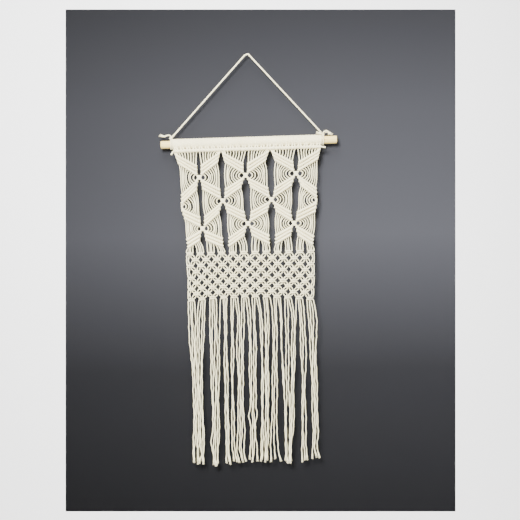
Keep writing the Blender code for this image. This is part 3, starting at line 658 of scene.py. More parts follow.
# %% [markdown]
# The runs of points are now joined, knot by knot. Each strand is worked out by its number from the
# left, so a change to one size moves every strand that it touches.

# %% Strands of the panel
CORD, SPREADING = 1.65, 0.74
TOP_CORD, TOP_SPREADING = 1.85, 0.54
TOP_SLACK = (0.5, 0.5)      # how far across a slack strand has come halfway down, and how far aside
TOP_BULGE, TOP_BULGE_FALL = 3.0, 18.0


def top_route(number):
    """A strand's points from the rod to the first row of the first bar; it bulges to the slot."""
    points = heading_routes[number][-2:] + top_hitch(number)
    first_bar = bar_hitches(number, 0)[:3]
    stops = slack_stop(number, points, first_bar, *TOP_SLACK)
    group, strand = divmod(number, PER_GROUP)
    to_slot = PER_GROUP - 1 - strand if leans_right(group, 0) else -strand
    fall = min(1.0, (points[-1].z - first_bar[0].z) / TOP_BULGE_FALL)
    bulge = Vector((TOP_BULGE * to_slot / (PER_GROUP - 1) * fall, 0.0, 0.0))
    return joined(points, [stop + bulge for stop in stops], first_bar)


def upper_route(number):
    """A strand's points from the first bar to the first row of the third bar."""
    points, second_bar = bar_hitches(number, 0), bar_hitches(number, 1)
    points = joined(points, fan_stops(number, 0, points, second_bar), second_bar)
    third_bar = bar_hitches(number, 2)[:3]
    return joined(points, fan_stops(number, 1, points, third_bar), third_bar)


heading_routes = [heading_wraps(number) for number in range(STRANDS)]
covering = []
for number, route in enumerate(heading_routes):
    covering.append(route + smooth([route[-1]] + top_hitch(number)[:2], STRAND_SPACING)[1:])
heading = cord_piece("larks_head_knots", covering, HEADING_CORD)
top_routes = [top_route(number) for number in range(STRANDS)]
top_strands = cord_piece("strands_under_the_rod", top_routes, TOP_CORD, TOP_SPREADING)
upper_routes = [upper_route(number) for number in range(STRANDS)]
upper_strands = cord_piece("upper_strands", upper_routes, CORD, SPREADING)

# %% [markdown]
# ## The net of square knots
# Four strands make a square knot. The two outer ones cross the two inner ones twice: the left one
# always in front, the right one always behind, each caught by the other at the sides. Rows of
# knots take their strands in turns, so the net opens in diamonds. A lattice of plain cords would
# look right only from far off, so a knot's four paths are listed once and used at every place of
# the net, and the cords run on from knot to knot. The net is a hand's work and hangs by its own
# weight, so two small tables pull it a little out of true.

# %% Square knot
NET_HALF_PITCH, NET_COLUMNS, NET_ROWS = 9.22, 24, 8
NET_TOP, NET_ROW_PITCH, NET_SIDE_SAG = -336.6, 9.09, 0.79

# columns: x, y and z of each point, from the knot's middle
LEFT_OUTER = (
    (-5.0, 0.0, 1.9), (-3.2, -1.4, 1.7), (-1.2, -2.5, 1.45), (1.2, -2.5, 1.25), (3.5, -0.9, 0.9),
    (4.3, 0.8, 0.0), (3.5, -0.4, -0.9), (1.2, -2.5, -1.25), (-1.2, -2.5, -1.45), (-3.2, -1.4, -1.7),
    (-5.0, 0.0, -1.9),
)
RIGHT_OUTER = (
    (5.0, 0.0, 1.9), (3.9, -1.5, 1.6), (2.6, 1.2, 1.4), (0.0, 2.6, 1.2), (-2.8, 1.2, 1.0),
    (-4.4, -0.9, 0.5), (-4.4, -0.9, -0.5), (-2.8, 1.2, -1.0), (0.0, 2.6, -1.2), (2.6, 1.2, -1.4),
    (3.9, -1.5, -1.6), (5.0, 0.0, -1.9),
)
LEFT_INNER = ((-1.2, 0.0, 3.6), (-1.4, 0.1, 1.4), (-1.4, 0.1, -1.4), (-1.2, 0.0, -3.6))
RIGHT_INNER = ((1.2, 0.0, 3.6), (1.4, 0.1, 1.4), (1.4, 0.1, -1.4), (1.2, 0.0, -3.6))
SQUARE_KNOT = (LEFT_OUTER, LEFT_INNER, RIGHT_INNER, RIGHT_OUTER)

print(f"net: {NET_ROWS} rows of knots, {2 * NET_HALF_PITCH} mm apart in a row")

# %% [markdown]
# The knots are placed from the net's middle, and the two tables pull them aside and down. At the
# sides of every second row two strands find no partners, and they run straight past it.

# %% Places in the net
NET_UNEVEN_X, NET_UNEVEN_Z = 0.35, 0.3
# rows: at the top, the middle and the foot of the net; columns: from its left to its right side
NET_ASIDE = ((-1.2, -2.4, -1.9, 0.8, 1.4), (0.9, -0.5, -1.4, -0.3, 0.3), (0.0, 0.0, -1.7, -2.2, -1.5))
NET_DOWN = ((-0.8, -0.3, 0.0, 0.0, 0.0), (-2.4, -1.9, -1.8, -1.7, -2.4), (-0.4, -0.6, -0.4, -1.2, -0.8))
KNOT_SCALE = 1.06
# by number, how far aside of its knots' middle a side strand passes a row that it misses
SIDE_STRANDS = {0: -5.6, 1: -2.9, 46: 2.9, 47: 5.6}
SIDE_HALF_HEIGHT = 1.5      # half the height of its straight run there


def drift(table, side, row):
    """How far the net is pulled aside or down; side goes from -1 at its left to 1 at its right."""
    stations = np.linspace(-1.0, 1.0, len(table[0]))
    amounts = [np.interp(side, stations, amount) for amount in table]
    return float(np.interp(row, (0, NET_ROWS / 2, NET_ROWS), amounts))


def net_middle(column, row):
    """The middle of a knot. The net hangs lower at its sides and isn't quite even."""
    side = (column - NET_COLUMNS / 2) / (NET_COLUMNS / 2)
    x = side * NET_COLUMNS / 2 * NET_HALF_PITCH + drift(NET_ASIDE, side, row)
    z = NET_TOP - row * (NET_ROW_PITCH + NET_SIDE_SAG * side * side) + drift(NET_DOWN, side, row)
    seed = 31 * row + column
    return Vector((x + uneven(seed, NET_UNEVEN_X), PANEL_Y, z + uneven(seed + 0.5, NET_UNEVEN_Z)))


def net_points(number, row):
    """A strand's points in one row of the net."""
    shift = 2 if row % 2 else 0
    if row % 2 and number in SIDE_STRANDS:
        column = 1 if number < 2 else NET_COLUMNS - 1
        spot = net_middle(column, row) + Vector((SIDE_STRANDS[number], 0.0, 0.0))
        upward = Vector((0.0, 0.0, SIDE_HALF_HEIGHT))
        return [spot + upward, spot - upward]
    knot, place_in_knot = divmod(number - shift, 4)
    column = 2 * knot + 1 + shift // 2
    middle = net_middle(column, row)
    return [middle + Vector(point) * KNOT_SCALE for point in SQUARE_KNOT[place_in_knot]]


# %% [markdown]
# The strands of the panel end inside the first row of square knots, where the net's own strands
# begin. In a knot the change of thickness hardly shows.

# %% Lower strands and net
NET_CORD = 1.9
FOOT_SLACK = (0.8, 0.7)


def lower_route(number):
    """A strand's points from the third bar down into the net's first knots."""
    third_bar, fourth_bar = bar_hitches(number, 2), bar_hitches(number, 3)
    points = joined(third_bar, fan_stops(number, 2, third_bar, fourth_bar), fourth_bar)
    first_knot = net_points(number, 0)[:2]
    return joined(points, slack_stop(number, points, first_knot, *FOOT_SLACK), first_knot)


lower_routes = [lower_route(number) for number in range(STRANDS)]
lower_strands = cord_piece("lower_strands", lower_routes, CORD, SPREADING)
net_routes = []
for number in range(STRANDS):
    route = []
    for row in range(NET_ROWS):
        route += net_points(number, row)
    route.append(net_points(number, NET_ROWS)[0])
    net_routes.append(smooth(route, STRAND_SPACING))
net = cord_piece("square_knots", net_routes, NET_CORD)

# %% [markdown]
# ## The leader cords
# The leaders are the cords that the bars are knotted over. They run down one bar, cross the
# leaders of the neighbour group and go on into the next bar. At the panel's two sides they turn
# back. Only their crossings and the turns at the slots show. They could be left out inside the
# bars, but one unbroken line for each is simpler than many short ones, and it crosses truly.

# %% Lines of the leaders
LEADER_SPACING = 2.25
LEADER_CROSSING_DEPTH = 1.1
LEADER_END = 2.0            # how far inside the end of its row a leader leaves it
LEADER_TOP_ASIDE, LEADER_TOP_DEPTH, LEADER_TOP_DROP = 1.2, 1.5, 2.0
LEADER_FOOT = Vector((0.0, 1.6, -2.5))      # from its last row to its hidden end
TURN_HEIGHT = 5.0           # above or below its crossing, where a turn ends
TURN_LEAST = 7.0            # a row that ends nearer its crossing has no such point
TURN_IN, TURN_NEAR = 0.5, 0.6               # where a turn starts, from the end of the row
SIDE_INSET, SIDE_STEP = 1.8, 0.5            # how far inside the panel's side the turns lie
# for the three rows of a bar, from the upper one
TURN_ASIDES = (4.6, 5.1, 4.6)
TURN_DEPTHS = (0.9, -0.4, 0.4)
SIDE_DEPTHS = (0.8, 0.0, -0.8)


def row_turn(end, line, inward, crossing, row):
    """A leader's points behind the ends of the rows, between the end of its row and the crossing."""
    away = math.copysign(1.0, end.z - crossing.z)
    depth = PANEL_Y + TURN_DEPTHS[row]
    points = [end - line * LEADER_END, Vector((end.x - inward * TURN_IN, depth, end.z - TURN_NEAR * away))]
    if abs(end.z - crossing.z) > TURN_LEAST:
        x = crossing.x - inward * TURN_ASIDES[row]
        points.append(Vector((x, depth, crossing.z + away * TURN_HEIGHT)))
    return points


def leader_route(group, ridge):
    """The line of one leader, from the top bar to the net."""
    points = []
    row = ridge
    for tier in range(TIERS):
        high, low = row_ends(group, tier, row)
        inward, high_edge, low_edge, _ = bar_corners(group, tier)
        line = (low - high).normalized()
        across = Vector((-line.z, 0.0, line.x)) * inward
        if tier == 0:
            x = meeting(high_edge, 0)[0] + inward * (LEADER_TOP_ASIDE + LEADER_SPACING * ridge)
            points.append(Vector((x, PANEL_Y + LEADER_TOP_DEPTH, top_bar_middle(x) - LEADER_TOP_DROP)))
            points += [high, high.lerp(low, 0.5)]
        else:
            x, z = meeting(high_edge, tier)
            points += row_turn(high, -line, -inward, Vector((x, PANEL_Y, z)), row)[::-1]
            points.append(high.lerp(low, 0.5))
        x, z = meeting(low_edge, tier + 1)
        crossing = Vector((x, PANEL_Y, z))
        if tier == TIERS - 1:
            inside = low - line * LEADER_END
            points += [inside, inside + LEADER_FOOT]
            continue
        points += row_turn(low, line, inward, crossing, row)
        if is_side(low_edge):
            turn_x = crossing.x - inward * (SIDE_INSET + SIDE_STEP * (RIDGES - 1 - row))
            points.append(Vector((turn_x, PANEL_Y + SIDE_DEPTHS[row], z)))
            row = RIDGES - 1 - row
        else:
            front = -1.0 if inward > 0 else 1.0
            points.append(crossing + across * ((1 - row) * LEADER_SPACING)
                          + Vector((0.0, front * LEADER_CROSSING_DEPTH, 0.0)))
            group += 1 if inward > 0 else -1
    return smooth(points, STRAND_SPACING)


# %% [markdown]
# The holding cord is the leader of the top bar. It runs straight under the rod, and its two cut
# ends hang down beside the panel.

# %% Leaders and holding cord
LEADER_CORD = 2.2
HOLDING_CORD = 2.9
HOLDING_STOPS = (TOP_BAR_LEFT + 0.5, TOP_BAR_LEFT + 6.0, -60.0, 0.0, 60.0,
                 TOP_BAR_RIGHT - 6.0, TOP_BAR_RIGHT - 0.5)
STUB_TIPS = ((-131.6, -168.6), (130.6, -160.2))     # x and z of the holding cord's cut ends
leader_routes = [leader_route(group, ridge) for group in range(GROUPS) for ridge in range(RIDGES)]
leaders = cord_piece("leader_cords", leader_routes, LEADER_CORD)
left_stub, right_stub = (Vector((x, PANEL_Y, z)) for x, z in STUB_TIPS)
holding_route = [left_stub]
for x in HOLDING_STOPS:
    holding_route.append(Vector((x, PANEL_Y, top_bar_middle(x) - TOP_HITCH_DROP)))
holding_route.append(right_stub)
holding = cord_piece("holding_cord", [smooth(holding_route, spacing=2.0)], HOLDING_CORD)

# %% [markdown]
# ## The fringe
# Below the last row of square knots the strands hang free. They gather in uneven bunches, in two
# layers, and each has its own slight wave. Evenly spaced cords would look combed, and a simulation
# wouldn't fall into these bunches. So a table has the two sides of each bunch at five heights, more
# of them than the solid has, and sums of sines make each strand its own.

# %% Bunches
FRINGE_LEVELS = (-450.0, -501.0, -569.0, -637.0, -668.0)
TIP_UNEVENNESS = 2.5
LAYER_OFFSET = 1.6
BUNCH_INSET = 1.8
STRAND_DRIFT = 1.0
GATHERING, TIP_GATHERING = (0.0, 0.0, 0.0, 0.0, 0.35), 0.7

# columns: strands, x of the bunch's left and right side at each of the five levels and at its tips,
#          z of its tips
BUNCHES = (
    (8, -108.6, -78.1, -106.1, -81.5, -102.2, -84.4, -103.3, -82.1, -103.9, -83.6, -103.6, -83.8, -692.0),
    (5, -72.1, -52.6, -72.2, -53.5, -71.2, -55.9, -70.3, -56.7, -71.7, -58.1, -69.5, -60.5, -696.0),
    (3, -47.6, -41.3, -48.5, -40.8, -48.8, -40.3, -48.2, -40.6, -48.8, -40.3, -47.9, -37.4, -693.0),
    (2, -35.7, -29.8, -36.6, -29.8, -37.0, -31.9, -38.1, -30.4, -38.7, -30.2, -35.0, -27.0, -691.5),
    (4, -25.5, -11.1, -27.3, -12.9, -25.9, -14.9, -28.7, -13.5, -30.2, -14.9, -26.4, -11.2, -691.0),
    (4, -6.9, 7.5, -6.1, 8.3, -6.4, 7.1, -5.8, 5.2, -8.1, 7.1, -10.2, 6.8, -689.5),
    (2, 12.6, 19.1, 14.3, 19.3, 13.9, 19.0, 12.0, 17.9, 11.4, 16.4, 10.2, 16.2, -690.5),
    (3, 21.9, 30.9, 21.0, 29.2, 20.3, 28.3, 18.7, 27.2, 17.3, 24.9, 16.9, 24.5, -690.5),
    (3, 34.6, 44.0, 33.7, 43.9, 31.7, 42.7, 28.9, 41.6, 26.6, 42.7, 27.1, 47.4, -690.0),
    (2, 48.2, 52.4, 48.2, 52.4, 51.2, 55.4, 52.6, 56.9, 52.5, 56.3, 52.4, 56.8, -691.5),
    (2, 55.8, 64.3, 55.8, 63.4, 55.4, 63.1, 54.3, 63.7, 53.7, 63.1, 55.0, 61.0, -693.0),
    (3, 66.9, 77.0, 65.6, 74.4, 63.9, 71.5, 61.1, 69.6, 58.8, 64.8, 59.2, 64.4, -694.0),
    (3, 80.1, 91.4, 81.2, 93.1, 82.5, 90.2, 80.6, 90.8, 80.0, 91.0, 80.4, 92.4, -691.0),
    (4, 94.5, 111.8, 97.3, 110.0, 98.6, 110.5, 99.2, 111.1, 97.8, 108.8, 98.2, 114.4, -686.0),
)
ROOT_FALL = 7.0             # from the last knot to the first point where a strand hangs in its bunch


def place_in_bunch(sides, member, count):
    """x of a strand, when the bunch's outer strands keep inside its two sides."""
    left, right = sides[0] + BUNCH_INSET, sides[1] - BUNCH_INSET
    return left + (right - left) * member / (count - 1)


def gathered(member, count, share):
    """A strand's place when a bunch parts in three, at its sides and its middle."""
    part = member / (count - 1)
    tuft = round(2 * part) / 2
    return (part + (tuft - part) * share) * (count - 1)


def fringe_routes():
    """Each strand's points from the last row of knots to its tip."""
    routes = []
    for count, *edges, tip_height in BUNCHES:
        *places, tips = zip(edges[::2], edges[1::2])
        for member in range(count):
            number = len(routes)
            layer = PANEL_Y + (-LAYER_OFFSET if number % 2 else LAYER_OFFSET)
            points = net_points(number, NET_ROWS)
            root = points[-1]
            first_x = place_in_bunch(places[0], member, count)
            points.append(Vector(((root.x * 2 + first_x) / 3, (PANEL_Y + layer) / 2, root.z - ROOT_FALL)))
            inner = 0 < member < count - 1
            for sides, z, share in zip(places, FRINGE_LEVELS, GATHERING):
                x = place_in_bunch(sides, gathered(member, count, share), count)
                aside = uneven(7.1 * number + z, STRAND_DRIFT) if inner else 0.0
                points.append(Vector((x + aside, layer, z)))
            end_x = place_in_bunch(tips, gathered(member, count, TIP_GATHERING), count)
            end_z = tip_height + TIP_UNEVENNESS * math.sin(2.4 * number)
            points.append(Vector((end_x, layer, end_z)))
            routes.append(points)
    return routes


print(f"fringe: {len(BUNCHES)} bunches, {sum(columns[0] for columns in BUNCHES)} strands")

# %% [markdown]
# A soft cord that hangs free isn't quite straight. Three sines of unlike lengths add up to a line
# that doesn't seem to repeat, and a few strands have a bow as well. Noise could do it too, but the
# sines have sizes and lengths that can be set one by one.

# %% Fringe
FRINGE_CORD = 1.7
FRINGE_SPACING = 2.1
TIP_SWELL = (1.0, 1.1, 1.25, 1.45, 1.65, 1.75)
WAVE_FALL = 40.0            # how far below its root a strand has its full waves
# columns: how far a wave goes, over what length, and how much later it comes in the next strand
ASIDE_WAVES = ((0.35, 4.3, 1.7), (0.6, 14.7, 4.1), (0.2, 2.1, 2.3))
FORWARD_WAVE = (0.5, 6.3, 2.9)
# columns: strand, height of a bow in it, how far aside and over what height it goes
BOWS = ((8, -655.0, -3.0, 9.0), (22, -612.0, -3.0, 11.0), (25, -612.0, 2.6, 11.0), (5, -675.0, 2.4, 8.0))


def wave(fall, number, size, length, shift):
    """How far a wave takes a strand aside or forward, so far below its root."""
    return size * math.sin(fall / length + shift * number)


def wavy(points, number):
    """Add a strand's own slight waves, which fade in below its root, and its bow if it has one."""
    waved = []
    for point in points:
        fall = points[0].z - point.z
        fade = min(1.0, fall / WAVE_FALL)
        across = sum(wave(fall, number, *columns) for columns in ASIDE_WAVES)
        for strand, height, aside, reach in BOWS:
            if strand == number:
                across += aside * math.exp(-((point.z - height) / reach) ** 2)
        waved.append(point + Vector((across * fade, wave(fall, number, *FORWARD_WAVE) * fade, 0.0)))
    return waved


# the frayed ends take the place of the last two points
hanging_routes = []
for number, points in enumerate(fringe_routes()):
    hanging_routes.append(wavy(smooth(points, FRINGE_SPACING), number)[:-2])
fringe = cord_piece("fringe_strands", hanging_routes, FRINGE_CORD, swell=TIP_SWELL)
fringe_ends = fray_piece("fringe_frayed_ends", hanging_routes, FRINGE_CORD * TIP_SWELL[-1] / 2)

# %% [markdown]
# ## Surfaces from nodes
# Cotton and pine are both made of plain patterns: waves, rings and noise. They could be painted by
# hand, but nodes stay sharp at any distance and need no unwrapping. The nodes of each are kept in a
# group that gives a colour, a roughness and a height, and the shader stays outside it.

# %% Helpers for surfaces


def look_group(name):
    """An empty group of shader nodes that gives a colour, a roughness and a height."""
    group = bpy.data.node_groups.new(name, "ShaderNodeTree")
    for label, kind in (("Color", "Color"), ("Roughness", "Float"), ("Height", "Float")):
        group.interface.new_socket(label, in_out="OUTPUT", socket_type="NodeSocket" + kind)
    return group, group.nodes.new("NodeGroupOutput")


def give(group, made, colour, roughness, height):
    """Send a group's three results out of it."""
    for label, value in (("Color", colour), ("Roughness", roughness), ("Height", height)):
        group.links.new(value, made.inputs[label])


def calculate(tree, operation, *values):
    """A math node; each value is a number or the output of another node."""
    node = tree.nodes.new("ShaderNodeMath")
    node.operation = operation
    for socket, value in zip(node.inputs, values):
        if isinstance(value, (int, float)):
            socket.default_value = value
        else:
            tree.links.new(value, socket)
    return node.outputs[0]


def scaled(tree, value, factor, extra=0.0):
    """A value times a factor, and a number or another node's output added to it."""
    product = calculate(tree, "MULTIPLY", value, factor)
    return product if extra == 0.0 else calculate(tree, "ADD", product, extra)


def separate(tree, vector):
    """The X, Y and Z of a vector."""
    node = tree.nodes.new("ShaderNodeSeparateXYZ")
    tree.links.new(vector, node.inputs[0])
    return node.outputs["X"], node.outputs["Y"], node.outputs["Z"]


def noise(tree, coordinates, scale, detail=2.0, roughness=0.5):
    """The value of a noise texture."""
    node = tree.nodes.new("ShaderNodeTexNoise")
    node.inputs["Scale"].default_value = scale
    node.inputs["Detail"].default_value = detail
    node.inputs["Roughness"].default_value = roughness
    tree.links.new(coordinates, node.inputs["Vector"])
    return node.outputs["Fac"]


def blended(tree, factor, first, second):
    """A mix of two colours; each is a tuple or the output of another node."""
    node = tree.nodes.new("ShaderNodeMix")
    node.data_type = "RGBA"
    tree.links.new(factor, node.inputs[0])
    for socket, value in ((node.inputs[6], first), (node.inputs[7], second)):
        if isinstance(value, tuple):
            socket.default_value = (*value, 1.0)
        else:
            tree.links.new(value, socket)
    return node.outputs[2]


# %% [markdown]
# ## Cotton
# The cord is spun from soft cotton in three plies, so a slow twist runs round it and fine fibres
# follow the twist. The grooves between the plies get painted shade, and soft patches are a little
# warmer than the rest, as undyed cotton is. A pattern that is laid over the whole piece would cut
# across the cords. One worked out from the lay that each cord carries follows it through every knot.

# %% Cotton cord
# lengths in metres, scales in waves a metre
COTTON_PALE = (0.93, 0.88, 0.61)
COTTON_WARM = (0.87, 0.79, 0.47)
# painted shade: the colour that the grooves between the plies are darkened towards
COTTON_GROOVE_SHADE = (0.52, 0.42, 0.24)
PLIES = 3
LAY_LENGTH = 0.012
PLY_FULLNESS = 0.6          # below 1 a ply is round and the groove beside it narrow
# how far the painted shade darkens the grooves
GROOVE_SHADE_AMOUNT = 0.55
FIBRE_RADIUS, FIBRE_STRETCH, FIBRE_SCALE = 0.0014, 0.18, 3600.0
FUZZ_SCALE, PATCH_SCALE = 2600.0, 60.0
PATCH_START, PATCH_CONTRAST = 0.35, 1.6
WARM_FROM_PATCHES, WARM_FROM_FIBRES = 0.6, 0.45
COTTON_ROUGHNESS, FIBRE_ROUGHNESS = 0.75, 0.2
PLY_RELIEF, FIBRE_RELIEF, FUZZ_RELIEF = 0.6, 0.3, 0.12


def cotton_cord_group():
    """Colour, roughness and relief of twisted cotton, from the lay that each cord carries."""
    group, made = look_group("twisted cotton cord")
    lay = group.nodes.new("ShaderNodeAttribute")
    lay.attribute_name = "lay"
    cosine, sine, reach = separate(group, lay.outputs["Vector"])
    angle = calculate(group, "ARCTAN2", sine, cosine)
    turned = calculate(group, "ADD", angle, scaled(group, reach, 2 * math.pi / LAY_LENGTH))
    wave_round = calculate(group, "ABSOLUTE", calculate(group, "SINE", scaled(group, turned, PLIES / 2)))
    ply = calculate(group, "POWER", wave_round, PLY_FULLNESS)
    fibre_place = group.nodes.new("ShaderNodeCombineXYZ")
    for axis, value, size in (
        ("X", calculate(group, "COSINE", turned), FIBRE_RADIUS),
        ("Y", calculate(group, "SINE", turned), FIBRE_RADIUS),
        ("Z", reach, FIBRE_STRETCH),
    ):
        group.links.new(scaled(group, value, size), fibre_place.inputs[axis])
    fibres = noise(group, fibre_place.outputs[0], FIBRE_SCALE, 3.0, 0.6)
    coordinates = group.nodes.new("ShaderNodeTexCoord").outputs["Object"]
    patches = calculate(group, "SUBTRACT", noise(group, coordinates, PATCH_SCALE), PATCH_START)
    fuzz = noise(group, coordinates, FUZZ_SCALE)
    warm = scaled(group, scaled(group, patches, PATCH_CONTRAST), WARM_FROM_PATCHES,
                  scaled(group, fibres, WARM_FROM_FIBRES))
    base = blended(group, warm, COTTON_PALE, COTTON_WARM)
    # painted shade in the grooves between the plies
    groove_shade = scaled(group, calculate(group, "SUBTRACT", 1.0, ply), GROOVE_SHADE_AMOUNT)
    colour = blended(group, groove_shade, base, COTTON_GROOVE_SHADE)
    relief = scaled(group, ply, PLY_RELIEF, scaled(group, fibres, FIBRE_RELIEF))
    relief = scaled(group, fuzz, FUZZ_RELIEF, relief)
    give(group, made, colour, scaled(group, fibres, FIBRE_ROUGHNESS, COTTON_ROUGHNESS), relief)
    return group


# %% [markdown]
# Cotton scatters light softly and shines a little at a glancing view, which sheen gives. The height
# goes to a Bump node: the twist is so fine that the light on it shows, but not its outline.

# %% Material from a group


def surface(name, group, relief, sheen=0.0, specular=0.3):
    """A material from a group that gives colour, roughness and height."""
    material = bpy.data.materials.new(name)
    material.use_nodes = True
    tree = material.node_tree
    shader = tree.nodes["Principled BSDF"]
    look = tree.nodes.new("ShaderNodeGroup")
    look.node_tree = group
    bump = tree.nodes.new("ShaderNodeBump")
    bump.inputs["Distance"].default_value = relief
    bump.inputs["Strength"].default_value = 1.0
    tree.links.new(look.outputs["Height"], bump.inputs["Height"])
    tree.links.new(bump.outputs["Normal"], shader.inputs["Normal"])
    tree.links.new(look.outputs["Color"], shader.inputs["Base Color"])
    tree.links.new(look.outputs["Roughness"], shader.inputs["Roughness"])
    shader.inputs["Specular IOR Level"].default_value = specular
    shader.inputs["Sheen Weight"].default_value = sheen
    shader.inputs["Sheen Roughness"].default_value = 0.5
    return material


cotton = surface("undyed cotton cord", cotton_cord_group(), relief=0.0004, sheen=0.2, specular=0.15)
print(f"{cotton.name}: {PLIES} plies, one turn in {LAY_LENGTH / MM:.0f} mm")

# %% [markdown]
# ## Pine
# The rod is turned from pale pine. Its grain runs along it as long narrow bands, with the rings
# showing at the sawn ends. Bands and rings could be two patterns, but they wouldn't meet at the
# edges. Rings about a line outside the rod, as in the trunk it was cut from, give both at once.

# %% Pine rod
PINE_PALE = (0.86, 0.70, 0.27)
PINE_BAND = (0.62, 0.42, 0.12)
RING_MIDDLE_Y = 0.021
RING_MIDDLE_Z = 0.014 + DOWEL_CENTRE.z * MM
RING_WIDTH = 0.0021
GRAIN_STRETCH = (0.05, 1.0, 1.0)
RING_WAVER, RING_WAVER_SCALE = 0.004, 160.0
GRAIN_SCALE = 2400.0
BAND_SHARPNESS = 2.0
BAND_COLOUR, GRAIN_COLOUR = 0.55, 0.4
PINE_ROUGHNESS, GRAIN_ROUGHNESS = 0.45, 0.2
BAND_RELIEF = 0.5


def pine_group():
    """Colour, roughness and relief of pine that was cut along its grain."""
    group, made = look_group("pine along the grain")
    coordinates = group.nodes.new("ShaderNodeTexCoord").outputs["Object"]
    stretch = group.nodes.new("ShaderNodeMapping")
    stretch.inputs["Scale"].default_value = GRAIN_STRETCH
    group.links.new(coordinates, stretch.inputs["Vector"])
    _, across, upward = separate(group, coordinates)
    across = calculate(group, "SUBTRACT", across, RING_MIDDLE_Y)
    upward = calculate(group, "SUBTRACT", upward, RING_MIDDLE_Z)
    squares = calculate(group, "ADD", calculate(group, "MULTIPLY", across, across),
                        calculate(group, "MULTIPLY", upward, upward))
    waver = noise(group, stretch.outputs[0], RING_WAVER_SCALE)
    away = scaled(group, waver, RING_WAVER, calculate(group, "SQRT", squares))
    rings = calculate(group, "SINE", scaled(group, away, 2 * math.pi / RING_WIDTH))
    band = calculate(group, "POWER", scaled(group, rings, 0.5, 0.5), BAND_SHARPNESS)
    grain = noise(group, stretch.outputs[0], GRAIN_SCALE, 3.0, 0.6)
    amount = scaled(group, band, BAND_COLOUR, scaled(group, grain, GRAIN_COLOUR))
    colour = blended(group, amount, PINE_PALE, PINE_BAND)
    roughness = scaled(group, grain, GRAIN_ROUGHNESS, PINE_ROUGHNESS)
    give(group, made, colour, roughness, scaled(group, band, BAND_RELIEF, grain))
    return group


pine = surface("pine rod", pine_group(), relief=0.00006)
dowel = bpy.data.objects["dowel"]
for place_for_material in dowel.material_slots:
    place_for_material.material = pine
print(f"{pine.name}: a ring every {RING_WIDTH / MM:.1f} mm")

# %% [markdown]
# ## The bodies and the solids they stand for
# Every piece of cotton hangs as one with the rod, so all ride on one body. Each takes the place of
# the solid that it belongs to. The rod could be turned anew as well, but a plain rod gains nothing
# by it and keeps its own solid.

# %% Bodies
PIECES = (
    (hanging_cord, "hanging_cord"),
    (left_tie, "left_tie"),
    (right_tie, "right_tie"),
    (left_end, "left_tie"),
    (left_fray, "left_tie"),
    (right_ends, "right_tie"),
    (right_fray, "right_tie"),
    (heading, "larks_head_row"),
    (holding, "knotted_panel"),
    (top_strands, "knotted_panel"),
    (upper_strands, "knotted_panel"),
    (lower_strands, "knotted_panel"),
    (leaders, "knotted_panel"),
    (net, "square_knot_net"),
    (fringe, "fringe"),
    (fringe_ends, "fringe"),
)
for piece, node in PIECES:
    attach(piece, "root")
    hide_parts(node)
    piece.data.materials.append(cotton)
print(f"{len(PIECES)} pieces of cotton take the place of {len({node for _, node in PIECES})} solids")

# %% [markdown]
# ## Floor, board, wall and light
# The hanging is shown on a dark board on a pale wall, over a pale floor. A plain grey ground would
# be simpler, but pale cotton needs a dark one to show its gaps. The board has a painted pool of
# light: its paint is palest a little above its middle and towards its right, and darkest at its foot.

# %% Board, wall and floor colours
FLOOR_COLOUR, WALL_COLOUR, BOARD_COLOUR = (0.72, 0.71, 0.69), (0.85, 0.85, 0.85), (0.02, 0.02, 0.02)
STAGE_ROUGHNESS, STAGE_SPECULAR = 0.9, 0.1
BOARD_Y, WALL_Y = 0.0115, 0.0155
BOARD_SIZE = (0.668, 0.860)
BOARD_MIDDLE = (0.017, BOARD_Y, -0.350)
# columns: height on the board from its foot, as a share, and how pale the painted light makes it there
BOARD_PAINTED_LIGHT = ((0.0, 0.0050), (0.28, 0.0105), (0.55, 0.034), (0.8, 0.026), (1.0, 0.014))
BOARD_TINT = (1.0, 1.02, 1.17)
# painted light: the board is painted paler towards its right
BOARD_PAINTED_SIDE_LIGHT = (0.75, 1.35)       # how much paler it is at its left and its right side


def one_sided(name, colour):
    """A plain stage material that shows from its front alone."""
    material = bpy.data.materials.new(name)
    material.use_nodes = True
    tree = material.node_tree
    shader = tree.nodes["Principled BSDF"]
    shader.inputs["Base Color"].default_value = (*colour, 1.0)
    shader.inputs["Roughness"].default_value = STAGE_ROUGHNESS
    shader.inputs["Specular IOR Level"].default_value = STAGE_SPECULAR
    clear = tree.nodes.new("ShaderNodeBsdfTransparent")
    choice = tree.nodes.new("ShaderNodeMixShader")
    facing = tree.nodes.new("ShaderNodeNewGeometry")
    tree.links.new(facing.outputs["Backfacing"], choice.inputs["Fac"])
    tree.links.new(shader.outputs[0], choice.inputs[1])
    tree.links.new(clear.outputs[0], choice.inputs[2])
    tree.links.new(choice.outputs[0], tree.nodes["Material Output"].inputs["Surface"])
    return material


def over_board(tree, value, middle, size, low, high):
    """A number that goes from low at one side of the board to high at the other."""
    node = tree.nodes.new("ShaderNodeMapRange")
    node.inputs["From Min"].default_value = middle - size / 2
    node.inputs["From Max"].default_value = middle + size / 2
    node.inputs["To Min"].default_value = low
    node.inputs["To Max"].default_value = high
    tree.links.new(value, node.inputs["Value"])
    return node.outputs["Result"]


